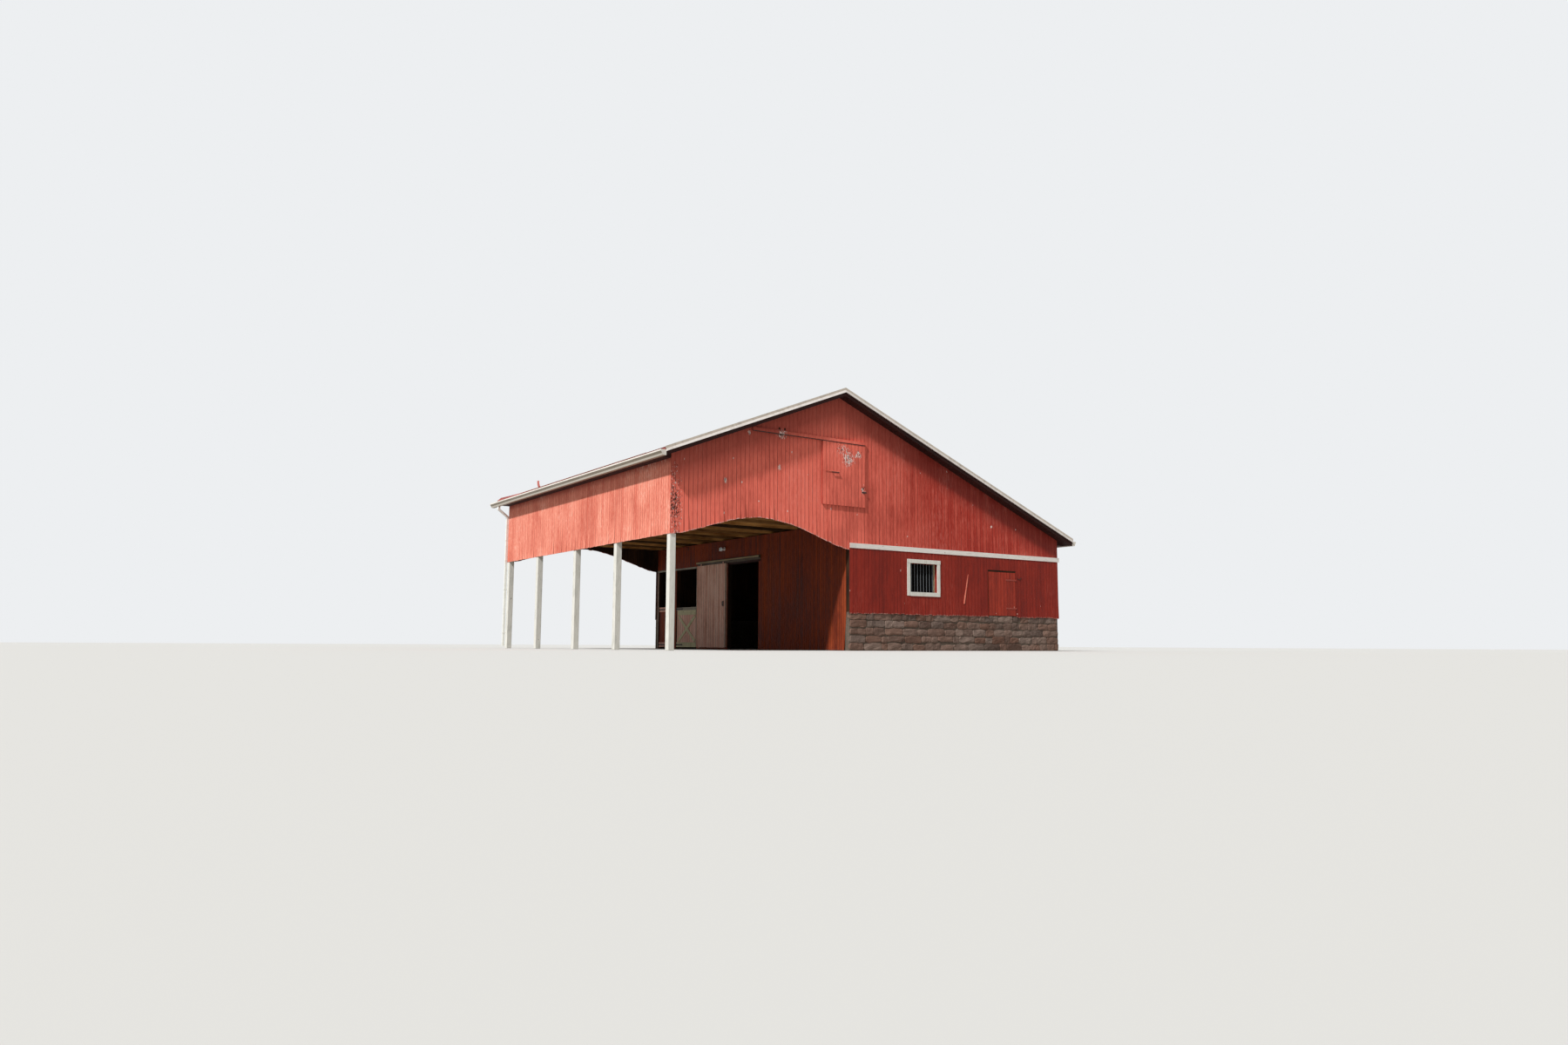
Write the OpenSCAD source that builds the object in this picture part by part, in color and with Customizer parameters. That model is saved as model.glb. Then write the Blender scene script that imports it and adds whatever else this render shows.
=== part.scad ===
// Red forebay barn: open post front, hay loft above, stable behind.
// Millimetres, +Z up. X runs across the gables from the front, Y along the ridge.

/* [Barn] */
// Width across the gables, over the siding
barn_w = 11900; // [11000:50:13000]
// Length along the ridge, over the siding
barn_l = 9750; // [9400:50:12000]
// Depth of the open forebay, front face to stable wall face
forebay_d = 4750; // [4300:50:5300]
// Height of the front wall's bottom edge above the ground
front_clear = 2440; // [2200:10:2500]
// Thickness of a framed wall with its siding
wall_t = 120; // [100:5:150]
// Thickness of the siding boards
siding_t = 25; // [18:1:30]

/* [Roof] */
// Distance of the ridge behind the front face
ridge_x = 4445; // [4200:5:4900]
// Clearance of pieces seated against a sloping face
seat_gap = 0.3; // [0.2:0.1:1]
// Pitch of the front slope
front_pitch = 22.1; // [20:0.1:24]
// Pitch of the rear slope
rear_pitch = 21.6; // [20:0.1:21.8]
// Thickness of the roof deck with its metal sheet
roof_t = 35; // [25:1:50]
// Depth of a rafter, square to the slope
rafter_h = 140; // [120:5:160]
// Thickness of rafters, joists and studs
timber_t = 45; // [38:1:60]
// Spacing of rafters and joists
timber_step = 610; // [400:10:800]
// Reach of the front roof edge past the front face
front_over = 280; // [220:10:400]
// Reach of the rear roof edge past the rear face
rear_over = 370; // [300:10:450]
// Reach of the rake boards past the gable siding
rake_over = 250; // [200:10:350]
// Depth of the white rake and fascia boards
rake_h = 120; // [90:5:150]
// Thickness of trim boards
trim_t = 22; // [18:1:30]
// Thickness of the soffit boards
soffit_t = 15; // [12:1:20]
// Overlap of the ridge cap on each slope
cap_w = 170; // [120:10:250]
// Thickness of the ridge cap sheet
cap_t = 4; // [3:1:8]

/* [Forebay] */
// Side of a square post
post_s = 140; // [110:5:160]
// First bay, near edge of post 1 to near edge of post 2
bay_1 = 2585; // [2300:5:2700]
// Second bay
bay_2 = 2330; // [2200:5:2600]
// Third bay
bay_3 = 2500; // [2200:5:2600]
// Height of the joists' underside, the ceiling of forebay and stable
ceiling_z = 3016; // [2950:2:3100]
// Height of the front beam
beam_h = 250; // [200:10:300]
// Depth of the loft joists
joist_h = 190; // [160:5:220]
// Thickness of the loft floor boards
floor_t = 25; // [20:1:40]
// Rise of the gable arch above its springing line
arch_rise = 536; // [350:2:560]
// How far the arch ends lower at the stable wall
arch_drop = 87; // [0:1:100]
// Shape of the arch haunches, higher is flatter at the ends
arch_power = 1.45; // [1:0.05:2]

/* [Stable] */
// Height of the foundation walls
found_h = 900; // [700:10:1000]
// Thickness of the foundation walls
found_t = 150; // [150:10:200]
// Setback of the foundation behind the siding
found_in = 20; // [5:5:40]
// Height of the stable doorways
door_head = 2330; // [2200:10:2350]
// Width of the open doorway
doorway_w = 1560; // [1300:10:1560]
// Wall between the open doorway and the stall doorway
middle_w = 1710; // [1700:10:1800]
// Width of the stall doorway
stall_w = 1230; // [1000:10:1250]
// Width of the pier between the stall doorways
pier_w = 220; // [200:10:300]
// Width of the far stall doorway
far_stall_w = 900; // [800:10:950]
// Width of the jamb post at the far gable
far_jamb_w = 60; // [60:5:90]

/* [Gable openings] */
// Belt board bottom height
belt_z = 2400; // [2380:5:2420]
// Belt board height
belt_h = 114; // [80:2:140]
// Reach of the belt board past the rear corner
belt_end = 60; // [0:5:80]
// Stable wall face to the window's clear opening
window_in = 1860; // [1500:10:2000]
// Window clear width
window_w = 880; // [600:10:1000]
// Window sill height, clear opening
window_z = 1425; // [1300:5:1500]
// Window clear height
window_h = 700; // [500:10:760]
// Window casing width
casing_w = 100; // [70:5:120]
// Window liner thickness
liner_t = 20; // [15:1:25]
// Wall between the hatch doorway and the rear corner
corner_w = 1630; // [1200:10:1700]
// Hatch doorway width
hatch_w = 1000; // [800:10:1200]
// Hatch doorway head height
hatch_head = 2040; // [1900:10:2200]
// Distance of the loft door's left edge in front of the ridge
loft_in = 515; // [400:5:600]
// Loft door width
loft_w = 1260; // [1000:10:1400]
// Depth of the loft door's top below the ridge
loft_drop = 1234; // [1200:2:1300]
// Loft door height
loft_h = 1500; // [1200:10:1510]
// Overlap of the loft door on the wall round its doorway
loft_lap = 70; // [40:5:90]
// Height of the loft door rail cover
loft_rail_h = 70; // [50:5:90]

/* [Doors] */
// Door leaf thickness
leaf_t = 40; // [30:1:50]
// Thickness of the vertical boards of a door
board_t = 22; // [18:1:25]
// Clearance round each hinged leaf
leaf_gap = 6; // [5:1:10]
// Sliding door width
slide_w = 1620; // [1600:10:1640]
// Sliding door height
slide_h = 2320; // [2200:10:2330]
// Ground clearance of the stable doors
ground_gap = 50; // [20:5:80]
// Height of the stall half door
half_h = 1160; // [1000:10:1300]
// Height of the far stall half door
far_half_h = 1200; // [1000:10:1300]
// Width of the rails of a half door
rail_w = 140; // [100:5:160]
// Width of the crossed braces of the half door
brace_w = 90; // [60:5:120]
// Thickness of rails and braces
rail_t = 20; // [15:1:25]
// Height of the cap on the half door
cap_h = 80; // [50:5:100]
// Box track outer height and width
track_s = 50; // [46:1:60]
// Box track steel thickness
track_wall = 3; // [2:0.5:4]
// Door roller diameter
roller_d = 30; // [24:1:34]
// Hinge pin diameter
pin_d = 12; // [10:1:14]
// Clearance between hinge pin and knuckle, at the radius
pin_gap = 0.3; // [0.1:0.1:0.5]
// Knuckle diameter
knuckle_d = 24; // [22:1:30]
// Width of a strap hinge
strap_w = 40; // [30:2:60]
// Length of a strap hinge
strap_l = 380; // [250:10:450]
// Thickness of a strap hinge
strap_t = 5; // [4:0.5:5]

/* [Gutters] */
// Gutter width
gutter_w = 130; // [100:5:150]
// Gutter height
gutter_h = 120; // [90:5:140]
// Gutter sheet thickness
gutter_t = 3; // [2:0.5:5]
// Reach of the front gutter past the far gable
gutter_far = 550; // [300:10:600]
// Downspout depth, square to the front
spout_d = 60; // [50:5:80]
// Downspout width, along the front
spout_w = 80; // [60:5:100]

/* [Hidden] */
$fn = 48;
arch_steps = 28;
roof_lip = 15;
fascia_in = 20;
gutter_drop = 4;
ridge_drop = 20;
ridge_slit = 0.01;
fuse = 0.01;
rake_y = -rake_over;
post_y = [0, bay_1, bay_1 + bay_2, bay_1 + bay_2 + bay_3, barn_l - post_s];
// Plan limits of the whole barn, which put its origin under its middle
x_min = -front_over + fascia_in - gutter_w;
x_max = barn_w + rear_over - fascia_in + gutter_w;
y_min = rake_y - roof_lip;
y_max = barn_l + gutter_far;
// The rear rafters bear on the rear plate, level with the joists, which fixes the ridge
rear_rise = (barn_w - wall_t - ridge_x) * tan(rear_pitch) + (roof_t + rafter_h) / cos(rear_pitch);
ridge_z = tenth(ceiling_z + rear_rise);
plate_front = tenth(rafter_under(wall_t));
beam_z = ceiling_z - beam_h;
floor_z = ceiling_z + joist_h + floor_t;
ridge_seat = min(seat_z(ridge_x - ridge_slit), seat_z(ridge_x));
// Gable openings, placed from the ridge, the stable wall and the rear corner
loft_x = ridge_x - loft_in;
loft_top = tenth(ridge_z - loft_drop);
loft_z = loft_top - loft_h;
loft_rail_x = ridge_x - (ridge_z - loft_top - loft_rail_h) / tan(front_pitch)
    + (roof_t + rake_h + 6) / sin(front_pitch);
window_x = forebay_d + window_in;
hatch_x = barn_w - corner_w - hatch_w;
// Stable doorways, counted from the far gable
found_face = found_in + found_t;
far_stall_y1 = barn_l - found_face - far_jamb_w;
far_stall_y = far_stall_y1 - far_stall_w;
stall_y1 = far_stall_y - pier_w;
stall_y = stall_y1 - stall_w;
slide_y = stall_y - middle_w;
doorway_y = slide_y - doorway_w;
fascia_front_x = -front_over + fascia_in;
fascia_rear_x = barn_w + rear_over - fascia_in;
// Downspout levels and its clearance from the corner
spout_clear = 10;
spout_neck = 80;
spout_bend = 200;
spout_mitre = 20;
spout_foot = 60;
// Sliding door line in front of the stable wall
track_board_t = 25;
slide_x = forebay_d - track_board_t - track_s / 2;
hanger_h = 50;
hanger_w = 40;
hanger_t = 6;
hanger_in = 200;
roller_w = 14;
track_slot = 16;
track_board_h = track_s + 70;
track_z = ground_gap + slide_h + hanger_h;
track_y0 = doorway_y - 100;
track_y1 = slide_y + slide_w + 40;
// Pintle hinges stand clear of the wall face by half a knuckle
hinge_out = knuckle_d / 2;
knuckle_h = strap_w;
rail_in = 70;
pintle_arm_t = 6;
pintle_plate_in = 5;
pintle_plate_w = 45;
pintle_plate_h = 70;
pintle_plate_t = 5;
// Heights of the straps on each hinged door
stall_straps = [ground_gap + rail_w / 2, ground_gap + half_h - cap_h / 2];
far_straps = [ground_gap + rail_w / 2, ground_gap + far_half_h - rail_w / 2];
hatch_straps = [found_h + 200, hatch_head - 200];
// Twin floodlight over the stable doors
lamp_rise = 450;
lamp_in = 190;
lamp_base_t = 30;
lamp_base_d = 100;
lamp_apart = 25;
lamp_neck_l = 60;
lamp_neck_d = 40;
lamp_head_l = 90;
timber_count = floor((barn_l - 2 * wall_t - 2 * timber_t) / timber_step) + 1;
timber_y0 = (barn_l - (timber_count - 1) * timber_step) / 2 - timber_t;

barn_red = [0.66, 0.18, 0.16];
front_red = [0.74, 0.30, 0.26];
white_paint = [0.88, 0.87, 0.83];
cream_paint = [0.85, 0.81, 0.70];
old_timber = [0.45, 0.29, 0.16];
stone_grey = [0.42, 0.40, 0.38];
roof_red = [0.55, 0.16, 0.13];
door_brown = [0.43, 0.28, 0.27];
iron_dark = [0.20, 0.19, 0.18];

// Heights of the roof at a distance x behind the front face
function roof_top(x) = x < ridge_x
    ? ridge_z - (ridge_x - x) * tan(front_pitch)
    : ridge_z - (x - ridge_x) * tan(rear_pitch);
function tenth(v) = round(v * 10) / 10;
function slope_cos(x) = x < ridge_x ? cos(front_pitch) : cos(rear_pitch);
function below_roof(x, depth) = roof_top(x) - depth / slope_cos(x);
function roof_under(x) = below_roof(x, roof_t);
function seat_z(x) = below_roof(x, roof_t + seat_gap);
function rafter_under(x) = below_roof(x, roof_t + rafter_h);
// Bottom edge of the gable boards over the forebay
function arch_z(x) = front_clear - arch_drop * x / forebay_d
    + arch_rise * pow(sin(180 * x / forebay_d), arch_power);
function timber_y(i) = timber_y0 + i * timber_step;
// Bottom of an eave's fascia and level soffit
function soffit_z(fascia_x) = roof_under(fascia_x) - rake_h;
// Bottom of a gutter hung just under a roof edge
function gutter_z(edge_x) = roof_under(edge_x) - gutter_drop - gutter_h;

module in_frame() {
    translate([-(x_min + x_max) / 2, -(y_min + y_max) / 2, 0]) children();
}

// A block between two corners
module block(x, y, z) {
    translate([x[0], y[0], z[0]]) cube([x[1] - x[0], y[1] - y[0], z[1] - z[0]]);
}

// An outline drawn in X and Z, carried along Y
module along_y(y0, y1) {
    translate([0, y1, 0]) rotate([90, 0, 0]) linear_extrude(y1 - y0) children();
}

// An outline drawn in Y and Z, carried along X
module along_x(x0, x1) {
    translate([x0, 0, 0]) rotate([90, 0, 90]) linear_extrude(x1 - x0) children();
}

// A band that follows the roof slope between two depths below its top
module slope_band(x0, x1, d0, d1) {
    polygon([
        [x0, below_roof(x0, d0)], [x1, below_roof(x1, d0)],
        [x1, below_roof(x1, d1)], [x0, below_roof(x0, d1)]
    ]);
}

// The two sides of a rake, front slope and rear slope, meeting at the ridge
module rake_pair(d0, d1, x0, x1) {
    slope_band(x0, ridge_x - ridge_slit, d0, d1);
    slope_band(ridge_x + ridge_slit, x1, d0, d1);
}

module foundation_side(y) {
    block([forebay_d, barn_w - found_in], [y, y + found_t], [0, found_h]);
}

module side_foundations() color(stone_grey) in_frame() {
    foundation_side(found_in);
    foundation_side(barn_l - found_in - found_t);
}

module rear_foundation() color(stone_grey) in_frame()
    block([barn_w - found_in - found_t, barn_w - found_in],
        [found_in + found_t, barn_l - found_in - found_t], [0, found_h]);

module near_lower_wall() color(barn_red) in_frame() difference() {
    block([forebay_d, hatch_x], [0, wall_t], [found_h, belt_z]);
    block([window_x - liner_t, window_x + window_w + liner_t], [-1, wall_t + 1],
        [window_z - liner_t, window_z + window_h + liner_t]);
}

module near_corner_wall() color(barn_red) in_frame()
    block([hatch_x + hatch_w, barn_w], [0, wall_t], [found_h, belt_z]);

module hatch_lintel_wall() color(barn_red) in_frame()
    block([hatch_x, hatch_x + hatch_w], [0, wall_t], [hatch_head, belt_z]);

module far_lower_wall() color(barn_red) in_frame()
    block([forebay_d, barn_w], [barn_l - wall_t, barn_l], [found_h, belt_z]);

module rear_wall() color(barn_red) in_frame()
    block([barn_w - wall_t, barn_w], [wall_t, barn_l - wall_t], [found_h, ceiling_z]);

// Gable boards: arched over the forebay, level over the stable, up to the roof
module gable_skin_outline() {
    polygon(concat(
        [for (i = [0 : arch_steps]) let (x = forebay_d * i / arch_steps) [x, arch_z(x)]],
        [[forebay_d, belt_z], [barn_w, belt_z], [barn_w, seat_z(barn_w)],
         [ridge_x, ridge_seat], [0, seat_z(0)]]
    ));
}

// Gable framing behind the boards, clear of the front siding
module gable_frame_outline() {
    polygon([
        [siding_t, ceiling_z], [forebay_d, ceiling_z], [forebay_d, belt_z], [barn_w, belt_z],
        [barn_w, seat_z(barn_w)], [ridge_x, ridge_seat], [siding_t, seat_z(siding_t)]
    ]);
}

module near_gable() color(barn_red) in_frame() difference() {
    union() {
        along_y(0, siding_t) gable_skin_outline();
        along_y(siding_t - fuse, wall_t) gable_frame_outline();
    }
    block([loft_x + loft_lap, loft_x + loft_w - loft_lap], [-1, wall_t + 1],
        [loft_z + loft_lap, loft_top - loft_lap]);
}

module far_gable() color(barn_red) in_frame() {
    along_y(barn_l - siding_t, barn_l) gable_skin_outline();
    along_y(barn_l - wall_t, barn_l - siding_t + fuse) gable_frame_outline();
}

// Siding hangs below the loft floor in front of the beam; framing stands on the floor
module front_wall() color(front_red) in_frame() {
    block([0, siding_t], [siding_t, barn_l - siding_t], [front_clear, plate_front]);
    block([siding_t - fuse, wall_t], [wall_t, barn_l - wall_t], [floor_z, plate_front]);
}

// Posts, notched behind the siding, that carry the beam
module posts() color(white_paint) in_frame() for (i = [0 : len(post_y) - 1]) {
    y = post_y[i];
    y0 = max(y, siding_t);
    y1 = min(y + post_s, barn_l - siding_t);
    block([0, post_s], [y, y + post_s], [0, front_clear]);
    block([siding_t, post_s], [y0, y1], [front_clear - fuse, beam_z]);
}

module forebay_beam() color(old_timber) in_frame()
    block([siding_t, post_s], [siding_t, barn_l - siding_t], [beam_z, ceiling_z]);

module stable_header() color(barn_red) in_frame()
    block([forebay_d, forebay_d + wall_t], [wall_t, barn_l - wall_t], [door_head, ceiling_z]);

// A stretch of stable wall beside a foundation, stepped over the foundation's inner face
module stable_near_wall() color(barn_red) in_frame() along_x(forebay_d, forebay_d + wall_t)
    polygon([
        [found_face, 0], [doorway_y, 0], [doorway_y, door_head],
        [wall_t, door_head], [wall_t, found_h], [found_face, found_h]
    ]);

module stable_middle_wall() color(barn_red) in_frame()
    block([forebay_d, forebay_d + wall_t], [slide_y, stall_y], [0, door_head]);

module stable_far_pier() color(barn_red) in_frame()
    block([forebay_d, forebay_d + wall_t], [stall_y1, far_stall_y], [0, door_head]);

module stable_far_jamb() color(barn_red) in_frame() along_x(forebay_d, forebay_d + wall_t)
    polygon([
        [far_stall_y1, 0], [barn_l - found_face, 0], [barn_l - found_face, found_h],
        [barn_l - wall_t, found_h], [barn_l - wall_t, door_head], [far_stall_y1, door_head]
    ]);

// Joists rest on the front beam, the stable wall and the rear plate
module joists() color(old_timber) in_frame()
    for (i = [0 : timber_count - 1])
        along_y(timber_y(i) + timber_t, timber_y(i) + 2 * timber_t) intersection() {
            translate([siding_t, ceiling_z]) square([barn_w - 2 * siding_t, joist_h]);
            polygon([[0, 0], [barn_w, 0], [barn_w, seat_z(barn_w)], [ridge_x, ridge_seat], [0, seat_z(0)]]);
        }

module loft_floor() color(old_timber) in_frame() {
    floor_x1 = ridge_x + (ridge_z - floor_z) / tan(rear_pitch)
        - (roof_t + rafter_h) / sin(rear_pitch);
    block([siding_t, floor_x1], [wall_t, barn_l - wall_t], [ceiling_z + joist_h, floor_z]);
}

// Rafter with a seat cut over its wall plate and a level cut over the eave soffit
module rafter_outline(x0, x1, wall_x, plate, tail_x, tail_z) {
    cut = 2 * rafter_h;
    difference() {
        slope_band(x0, x1, roof_t + seat_gap, roof_t + rafter_h);
        translate([wall_x, plate + seat_gap - cut]) square([wall_t, cut]);
        translate([tail_x, tail_z + seat_gap - cut]) square([max(front_over, rear_over), cut]);
    }
}

// The ridge board joins the front rafters' heads; the rear ones butt against it
module front_rafters() color(old_timber) in_frame() {
    x0 = ridge_x - timber_t / 2;
    x1 = ridge_x + timber_t / 2;
    for (i = [0 : timber_count - 1])
        along_y(timber_y(i), timber_y(i) + timber_t)
            rafter_outline(fascia_front_x + trim_t, x0 + fuse, 0, plate_front,
                -max(front_over, rear_over), soffit_z(fascia_front_x) + soffit_t);
    block([x0, x1], [wall_t, barn_l - wall_t],
        [rafter_under(x0) - ridge_drop, min(seat_z(x0), seat_z(x1))]);
}

module rear_rafters() color(old_timber) in_frame()
    for (i = [0 : timber_count - 1])
        along_y(timber_y(i), timber_y(i) + timber_t)
            rafter_outline(ridge_x + timber_t / 2, fascia_rear_x - trim_t, barn_w - wall_t, ceiling_z,
                barn_w, soffit_z(fascia_rear_x) + soffit_t);

module front_roof() color(roof_red) in_frame() along_y(y_min, barn_l - y_min)
    slope_band(-front_over, ridge_x - ridge_slit, 0, roof_t);

module rear_roof() color(roof_red) in_frame() along_y(y_min, barn_l - y_min)
    slope_band(ridge_x, barn_w + rear_over, 0, roof_t);

// Folded sheet laid over the joint of the two slopes
module ridge_cap() color(roof_red) in_frame() along_y(y_min, barn_l - y_min) {
    x0 = ridge_x - cap_w;
    x1 = ridge_x + cap_w;
    z0 = roof_top(x0) + seat_gap;
    z1 = roof_top(x1) + seat_gap;
    polygon([
        [x0, z0], [ridge_x, ridge_z + seat_gap], [x1, z1],
        [x1, z1 + cap_t], [ridge_x, ridge_z + seat_gap + cap_t], [x0, z0 + cap_t]
    ]);
}

module rake_boards() color(white_paint) in_frame()
    for (y = [rake_y, barn_l - rake_y - trim_t])
        along_y(y, y + trim_t)
            rake_pair(roof_t + seat_gap, roof_t + rake_h, fascia_front_x, fascia_rear_x);

module rake_soffits() color(barn_red) in_frame()
    for (y = [rake_y + trim_t, barn_l])
        along_y(y, y + rake_over - trim_t)
            rake_pair(roof_t + rake_h - soffit_t, roof_t + rake_h,
                fascia_front_x + trim_t, fascia_rear_x - trim_t);

module fascia(x, side) {
    back = x - side * trim_t;
    block([min(x, back), max(x, back)], [rake_y + trim_t, barn_l - rake_y - trim_t],
        [soffit_z(x), seat_z(x)]);
}

module fascias() color(white_paint) in_frame() {
    fascia(fascia_front_x, -1);
    fascia(fascia_rear_x, 1);
}

// Level soffit behind a fascia, closed up to the roof at both gables
module eave_soffit(fascia_x, side, wall_x) {
    back = fascia_x - side * trim_t;
    z0 = soffit_z(fascia_x);
    z1 = z0 + soffit_t;
    block([min(wall_x, back), max(wall_x, back)], [0, barn_l], [z0, z1]);
    for (y = [0, barn_l - soffit_t])
        along_y(y, y + soffit_t) polygon([
            [wall_x, z1 - fuse], [back, z1 - fuse], [back, seat_z(back)], [wall_x, seat_z(wall_x)]
        ]);
}

module eave_soffits() color(barn_red) in_frame() {
    eave_soffit(fascia_front_x, -1, 0);
    eave_soffit(fascia_rear_x, 1, barn_w);
}

// Folded gutter section: upright back, level bottom, stepped front
module gutter_outline() {
    foot = 0.62 * gutter_w;
    step_x = 0.72 * gutter_w;
    step_z = 0.34 * gutter_h;
    lip_z = 0.74 * gutter_h;
    difference() {
        polygon([
            [0, 0], [foot, 0], [step_x, step_z], [gutter_w, lip_z], [gutter_w, gutter_h], [0, gutter_h]
        ]);
        polygon([
            [gutter_t, gutter_t], [foot - gutter_t, gutter_t], [step_x - gutter_t, step_z],
            [gutter_w - gutter_t, lip_z], [gutter_w - gutter_t, gutter_h + 1], [gutter_t, gutter_h + 1]
        ]);
    }
}

module gutter(fascia_x, side, y0, y1) {
    z0 = gutter_z(fascia_x + side * fascia_in);
    translate([fascia_x, 0, z0]) mirror([side < 0 ? 1 : 0, 0, 0]) {
        along_y(y0, y1) gutter_outline();
        for (y = [y0, y1 - gutter_t])
            along_y(y, y + gutter_t) hull() gutter_outline();
    }
}

module front_gutter() color(cream_paint) in_frame() gutter(fascia_front_x, -1, y_min, y_max);

module rear_gutter() color(white_paint) in_frame() gutter(fascia_rear_x, 1, y_min, barn_l - y_min);

// Drops from the front gutter beside the far gable, stepped back to the wall's line
module downspout() color(cream_paint) in_frame() {
    spout_y = barn_l + spout_clear;
    half = spout_d / 2;
    top_x = fascia_front_x - 0.31 * gutter_w;
    low_x = -spout_clear - half;
    top_z = gutter_z(-front_over);
    bend_z = top_z - spout_neck;
    foot_z = bend_z - spout_bend;
    along_y(spout_y, spout_y + spout_w) polygon([
        [top_x - half, top_z], [top_x + half, top_z], [top_x + half, bend_z], [low_x + half, foot_z],
        [low_x + half, spout_foot], [low_x - half, spout_foot],
        [low_x - half, foot_z - spout_mitre], [top_x - half, bend_z - spout_mitre]
    ]);
}

module belt_boards() color(white_paint) in_frame() {
    block([forebay_d, barn_w + belt_end], [-trim_t, 0], [belt_z, belt_z + belt_h]);
    block([forebay_d, barn_w + belt_end], [barn_l, barn_l + trim_t], [belt_z, belt_z + belt_h]);
}

// Window casing outside, liner through the wall
module window_frame() color(white_paint) in_frame() difference() {
    union() {
        block([window_x - casing_w, window_x + window_w + casing_w], [-trim_t, 0],
            [window_z - casing_w, window_z + window_h + casing_w]);
        block([window_x - liner_t, window_x + window_w + liner_t], [-fuse, wall_t],
            [window_z - liner_t, window_z + window_h + liner_t]);
    }
    block([window_x, window_x + window_w], [-trim_t - 1, wall_t + 1], [window_z, window_z + window_h]);
}

module loft_door() color(barn_red) in_frame()
    block([loft_x, loft_x + loft_w], [-leaf_t, 0], [loft_z, loft_top]);

module loft_door_rail() color(barn_red) in_frame()
    block([loft_rail_x, loft_x + loft_w], [-leaf_t - rail_t, 0], [loft_top, loft_top + loft_rail_h]);

// Board and box track that the sliding door hangs from
module door_track() color(old_timber) in_frame() {
    block([forebay_d - track_board_t, forebay_d], [track_y0, track_y1],
        [track_z + track_s + 30 - track_board_h, track_z + track_s + 30]);
    along_y(track_y0, track_y1) translate([slide_x - track_s / 2, track_z]) difference() {
        square(track_s);
        translate([track_wall, track_wall]) square(track_s - 2 * track_wall);
        translate([(track_s - track_slot) / 2, -1]) square([track_slot, track_wall + 2]);
    }
}

// Leaf with two hangers whose rollers run in the box track
module sliding_door() color(door_brown) in_frame() {
    leaf_top = ground_gap + slide_h;
    wheel_z = track_z + track_wall + roller_d / 2 + seat_gap;
    block([slide_x - leaf_t / 2, slide_x + leaf_t / 2], [slide_y, slide_y + slide_w],
        [ground_gap, leaf_top]);
    for (y = [slide_y + hanger_in, slide_y + slide_w - hanger_in]) {
        block([slide_x - hanger_t / 2, slide_x + hanger_t / 2], [y - hanger_w / 2, y + hanger_w / 2],
            [leaf_top - fuse, wheel_z + hanger_t]);
        for (side = [-1, 1])
            translate([slide_x + side * (hanger_t / 2 - fuse), y, wheel_z])
                rotate([0, side * 90, 0]) cylinder(h = roller_w, d = roller_d);
    }
}

// Strap hinge: knuckle round the pin at the origin, strap running along +X at the leaf's face
module strap_hinge() difference() {
    union() {
        cylinder(h = knuckle_h, d = knuckle_d, center = true);
        translate([0, hinge_out - strap_t, -strap_w / 2]) cube([strap_l, strap_t, strap_w]);
    }
    cylinder(h = knuckle_h + 2, d = pin_d + 2 * pin_gap, center = true);
}

// Pintle under a knuckle: wall plate on the jamb, arm and upright pin
module pintle() {
    top = -knuckle_h / 2 - seat_gap;
    plate_x = leaf_gap / 2 + pintle_plate_in;
    translate([-plate_x - pintle_plate_w, hinge_out - pintle_plate_t, top - pintle_plate_h])
        cube([pintle_plate_w, pintle_plate_t, pintle_plate_h]);
    translate([-plate_x - pin_d, -pin_d / 2, top - pintle_arm_t])
        cube([plate_x + pin_d, pin_d / 2 + hinge_out, pintle_arm_t]);
    translate([0, 0, top - pintle_arm_t]) cylinder(h = pintle_arm_t, d = pin_d + 4);
    translate([0, 0, top - fuse]) cylinder(h = knuckle_h + seat_gap + 2, d = pin_d);
}

// Puts a hinge part at a jamb of the stable wall, its leaf reaching towards -Y
module at_stall_jamb(y1, heights)
    for (z = heights)
        translate([forebay_d - hinge_out, y1 - leaf_gap / 2, z]) rotate([0, 0, -90]) children();

// Puts a hinge part at the hatch's rear jamb, its leaf reaching towards -X
module at_hatch_jamb()
    for (z = hatch_straps)
        translate([hatch_x + hatch_w - leaf_gap / 2, -hinge_out, z]) mirror([1, 0, 0]) children();

// Stall door: boards with a full-width cap and foot rail, inset rail and crossed braces
module stall_half_door() color(cream_paint) in_frame() {
    y0 = stall_y + leaf_gap;
    y1 = stall_y1 - leaf_gap;
    z1 = ground_gap + half_h;
    low = ground_gap + rail_w;
    high = z1 - cap_h - rail_w;
    face = [forebay_d, forebay_d + rail_t + fuse];
    block([forebay_d + rail_t, forebay_d + rail_t + board_t], [y0, y1], [ground_gap, z1]);
    block(face, [y0, y1], [ground_gap, low]);
    block(face, [y0, y1], [z1 - cap_h, z1]);
    block(face, [y0 + rail_in, y1 - rail_in], [high, z1 - cap_h + fuse]);
    along_x(face[0], face[1]) intersection() {
        translate([y0 + rail_in, low - fuse]) square([y1 - y0 - 2 * rail_in, high - low + 2 * fuse]);
        for (s = [-1, 1])
            translate([(y0 + y1) / 2, (low + high) / 2])
                rotate(s * atan2(high - low, y1 - y0 - 2 * rail_in))
                    square([y1 - y0, brace_w], center = true);
    }
    at_stall_jamb(stall_y1, stall_straps) strap_hinge();
}

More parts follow.
